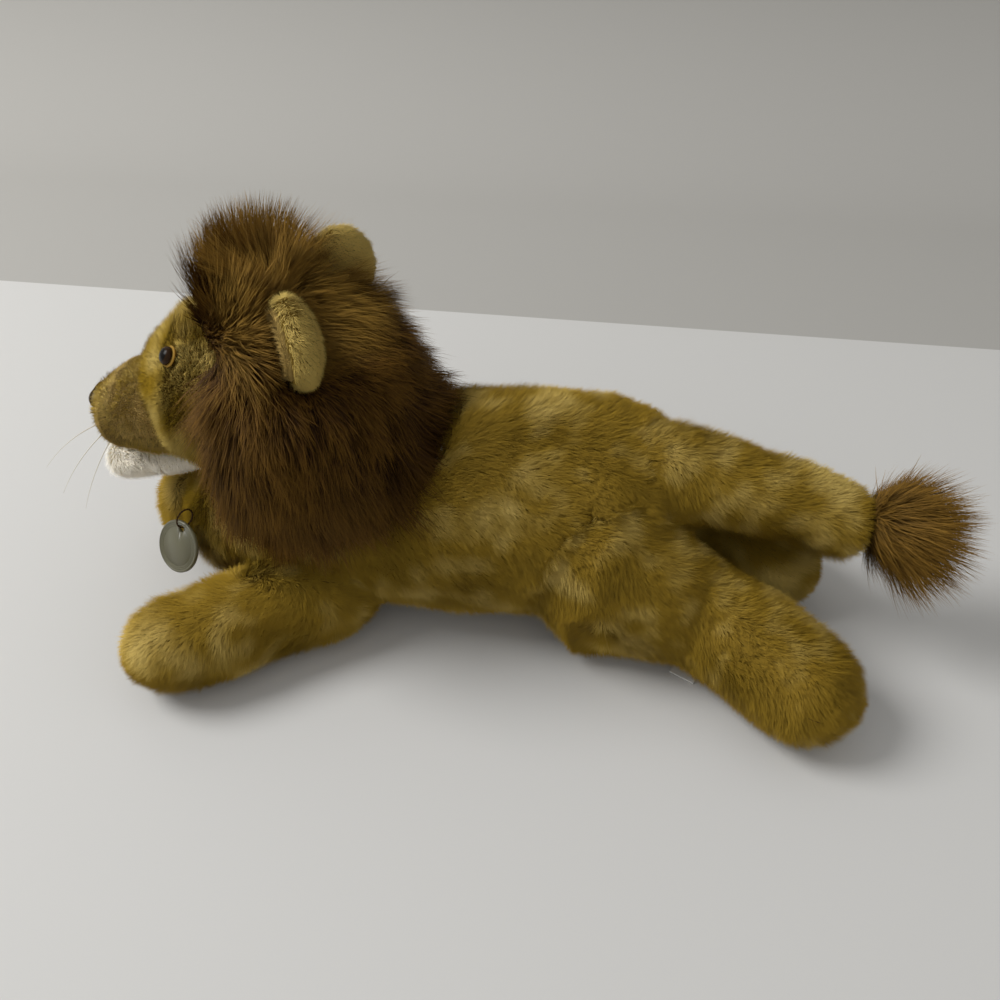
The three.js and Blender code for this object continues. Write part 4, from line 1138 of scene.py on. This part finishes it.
def strand_points(node):
    """The foot, middle and tip of a CAD strand, its foot towards the head."""
    points = corners(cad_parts[node].data)
    axis = np.linalg.svd(points - points.mean(axis=0))[2][0]
    axis = axis * np.sign(axis @ (neck_centre - points.mean(axis=0)))
    order = points[np.argsort(points @ axis)]
    start = (len(order) // 2) - section_corners // 2
    middle = order[start:start + section_corners]
    return (order[-section_corners:].mean(axis=0), middle.mean(axis=0),
            order[:section_corners].mean(axis=0))


# Nylon monofilament: pale, thin and a little glossy
whisker_nylon = surface("pale_nylon_strand", lambda tree: {
    "Base Color": shown("#e2dccb"), "Roughness": 0.35})
for node in [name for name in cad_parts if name.startswith("whisker_")]:
    foot, middle, tip = (Vector(p) for p in strand_points(node))
    bend = 2 * middle - (foot + tip) / 2
    shares = [i / whisker_steps for i in range(whisker_steps + 1)]
    path = [foot * (1 - t) ** 2 + bend * 2 * t * (1 - t) + tip * t * t for t in shares]
    radii = [whisker_foot_radius + (whisker_tip_radius - whisker_foot_radius) * t for t in shares]
    strand = tube(node + "_strand", path, radii, whisker_sides)
    whisker = new_object(node + "_strand", strand, whisker_nylon)
    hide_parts(node)
    put_on("head", "whisker_nylon", whisker)

# Badge
# A round plate of smoky clear plastic, moulded with a grooved rim and a plain face, hangs by its
# hole from a loop of thread at the chest.
badge_hanger = Vector((-0.12608, -0.03308, 0.04975))
badge_outward = Vector((-0.40657, -0.76466, 0.5))
badge_rise = Vector((0.23474, 0.44147, 0.86603))
# The sizes of the plate and its drops down from the thread are in millimetres
badge_radius = 12.5
badge_half = 1.0
badge_drop = 9.8  # to the plate's middle
badge_hole_drop = 0.7
badge_hole_radius = 1.8
badge_edge = 0.5
groove_count = 3
groove_first_share, groove_step_share = 0.45, 0.35  # of the rim's width
groove_depth = 0.45
groove_width = 0.5
ridge_drop = 0.1
face_drop = 0.35
rim_width = 2.4
drill_reach = 3
badge_profile = [
    (0, -badge_half), (badge_radius - badge_edge, -badge_half),
    (badge_radius, -badge_half + badge_edge), (badge_radius, badge_half - badge_edge),
    (badge_radius - badge_edge, badge_half)]
for step in range(groove_count):
    ring_edge = badge_radius - rim_width * (groove_first_share + groove_step_share * step)
    badge_profile += [(ring_edge, badge_half),
                      (ring_edge - groove_width / 2, badge_half - groove_depth),
                      (ring_edge - groove_width, badge_half - ridge_drop)]
badge_profile.append((0, badge_half - face_drop))
badge_frame = seat_matrix(badge_hanger, badge_outward, badge_rise)
plate_frame, hole_frame = (badge_frame @ Matrix.Translation((0, -drop * millimetre, 0))
                           for drop in (badge_drop, badge_hole_drop))
plate = new_object("badge_plate", turned("badge_plate", badge_profile, plate_frame))
drill_profile = [(0, -drill_reach), (badge_hole_radius, -drill_reach),
                 (badge_hole_radius, drill_reach), (0, drill_reach)]
drill = new_object("badge_drill", turned("badge_drill", drill_profile, hole_frame))
bore = plate.modifiers.new("hole", "BOOLEAN")
bore.operation = "DIFFERENCE"
bore.object = drill
# Smoky plastic: clear enough to take the colour of what is behind it
smoky_plastic = surface("smoky_clear_plastic", lambda tree: {
    "Base Color": shown("#7b7860"), "Roughness": 0.3, "Transmission Weight": 0.45, "IOR": 1.46})
badge = new_object("badge_plate", settled(plate, "badge_plate"), smoky_plastic)
bpy.data.objects.remove(drill)
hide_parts("badge")
put_on("badge", "badge_plastic", badge)

# Loop of thread
# Two plies of brown cotton are twisted together and knotted into the chest as a small loop, from
# which the badge hangs.
loop_centre = Vector((-0.12502, -0.03109, 0.05365))
loop_radius = 4.5 * millimetre
ply_radius = 0.24 * millimetre
ply_twists = 9
ply_steps = 144
ply_sides = 6
cotton_fibre = 0.15 * millimetre
cotton_relief = 0.08 * millimetre


def cotton(tree):
    """Spun cotton: matt brown with fine twisted fibres."""
    place = add(tree, "ShaderNodeTexCoord").outputs["Object"]
    fibres = add(tree, "ShaderNodeTexNoise", {"Vector": place, "Scale": 1 / cotton_fibre, "Detail": 2.0})
    bump = add(tree, "ShaderNodeBump", {"Height": fibres.outputs["Fac"], "Strength": 0.5,
                                        "Distance": cotton_relief})
    return {"Base Color": shown("#3a2713"), "Roughness": 0.9, "Specular IOR Level": 0.15,
            "Normal": bump}


brown_thread = surface("brown_cotton_thread", cotton)


def ply_path(phase):
    """One ply's way round the loop, winding about the loop's line."""
    points = []
    for i in range(ply_steps + 1):
        turn = 2 * math.pi * i / ply_steps
        spoke = badge_rise * math.cos(turn) + badge_outward * math.sin(turn)
        twist = ply_twists * turn + phase
        side_axis = badge_rise.cross(badge_outward)
        points.append(loop_centre + spoke * (loop_radius + ply_radius * math.cos(twist))
                      + side_axis * ply_radius * math.sin(twist))
    return points


for ply, phase in (("a", 0.0), ("b", math.pi)):
    mesh = tube("thread_ply_" + ply, ply_path(phase), [ply_radius] * (ply_steps + 1), ply_sides)
    strand = new_object("thread_ply_" + ply, mesh, brown_thread)
    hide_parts("badge_thread")
    put_on("torso", "brown_thread", strand)

# Stitches and the line of the mouth
# The same brown thread draws the toes in and runs round the front of the muzzle as the mouth. It is
# pulled tight, so it lies down in the pile.
drawn_thin = 0.3 * millimetre
drawn_share = 0.4  # of a stitch's length that still shows
stitch_sink = 2.6 * millimetre
stitch_bed = 12  # corners of the skin round a stitch, whose middle it is drawn towards
mouth_rise = 1.4 * millimetre  # up under the muzzle's edge


def tight_thread(node, body):
    """A CAD thread drawn thinner, as its own mesh."""
    mesh = loose_copy(node, [node])
    move_corners(mesh, corners(mesh) - outward(mesh) * drawn_thin)
    mesh.shade_smooth()
    thread = new_object(node + "_thread", mesh, brown_thread)
    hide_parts(node)
    put_on(body, "brown_thread", thread)
    return thread


for node in [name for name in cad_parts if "stitch" in name]:
    leg = node[:node.index("_toe")]
    stitch = tight_thread(node, leg)
    points = corners(stitch.data)
    centre = points.mean(axis=0)
    skin_points = corners(bpy.data.objects[leg + "_skin"].data)
    nearest = np.argsort(np.linalg.norm(skin_points - centre, axis=1))[:stitch_bed]
    inward = skin_points[nearest].mean(axis=0) - centre
    points = centre + (points - centre) * drawn_share
    move_corners(stitch.data, points + inward / np.linalg.norm(inward) * stitch_sink)
mouth = tight_thread("mouth_seam", "head")
move_corners(mouth.data, corners(mouth.data) + np.array((0, 0, mouth_rise)))

# Label
# A folded strip of plain white satin is caught in the seam under the left hind leg and just
# peeps out.
rib_spacing = 2.5 * millimetre  # drawn coarser than the real rib, so that it shows
rib_relief = 0.05 * millimetre


def satin(tree):
    """Woven satin ribbon: bright, with a fine rib across it."""
    place = add(tree, "ShaderNodeTexCoord").outputs["Object"]
    rib = add(tree, "ShaderNodeTexWave", {"Vector": place, "Scale": 1 / rib_spacing})
    bump = add(tree, "ShaderNodeBump", {"Height": rib.outputs["Fac"], "Strength": 0.3,
                                        "Distance": rib_relief})
    return {"Base Color": shown("#eceae4"), "Roughness": 0.45, "Normal": bump}


label_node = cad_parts["sewn_label"]
label_node.data.materials.clear()
label_node.data.materials.append(surface("white_satin_ribbon", satin))

# Inner pieces
# Polyester fibre, cotton bags of pellets, the firm plug of the neck and the washers of the eyes
# stay out of sight inside.
fibre_tuft = 3 * millimetre
fibre_relief = 1 * millimetre


def fibre(tree):
    """Loose polyester filling: white, matt and uneven."""
    place = add(tree, "ShaderNodeTexCoord").outputs["Object"]
    tufts = add(tree, "ShaderNodeTexNoise", {"Vector": place, "Scale": 1 / fibre_tuft, "Detail": 5.0})
    bump = add(tree, "ShaderNodeBump", {"Height": tufts.outputs["Fac"], "Distance": fibre_relief})
    return {"Base Color": shown("#e8e6df"), "Roughness": 0.95, "Normal": bump}


# White all through: woolly fibre, plain cotton, and washers moulded in a half-dull plastic
inner_materials = {
    "stuffing": surface("polyester_fibre", fibre),
    "pellet": backing("white_cotton_bag", "#dcd9d0"),
    "washer": surface("white_washer_plastic", lambda tree: {
        "Base Color": shown("#e4e4e0"), "Roughness": 0.4})}
for name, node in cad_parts.items():
    for word, material in inner_materials.items():
        if word in name:
            node.data.materials.clear()
            node.data.materials.append(material)

for lock in (short_lock, long_lock):
    bpy.data.objects.remove(lock)
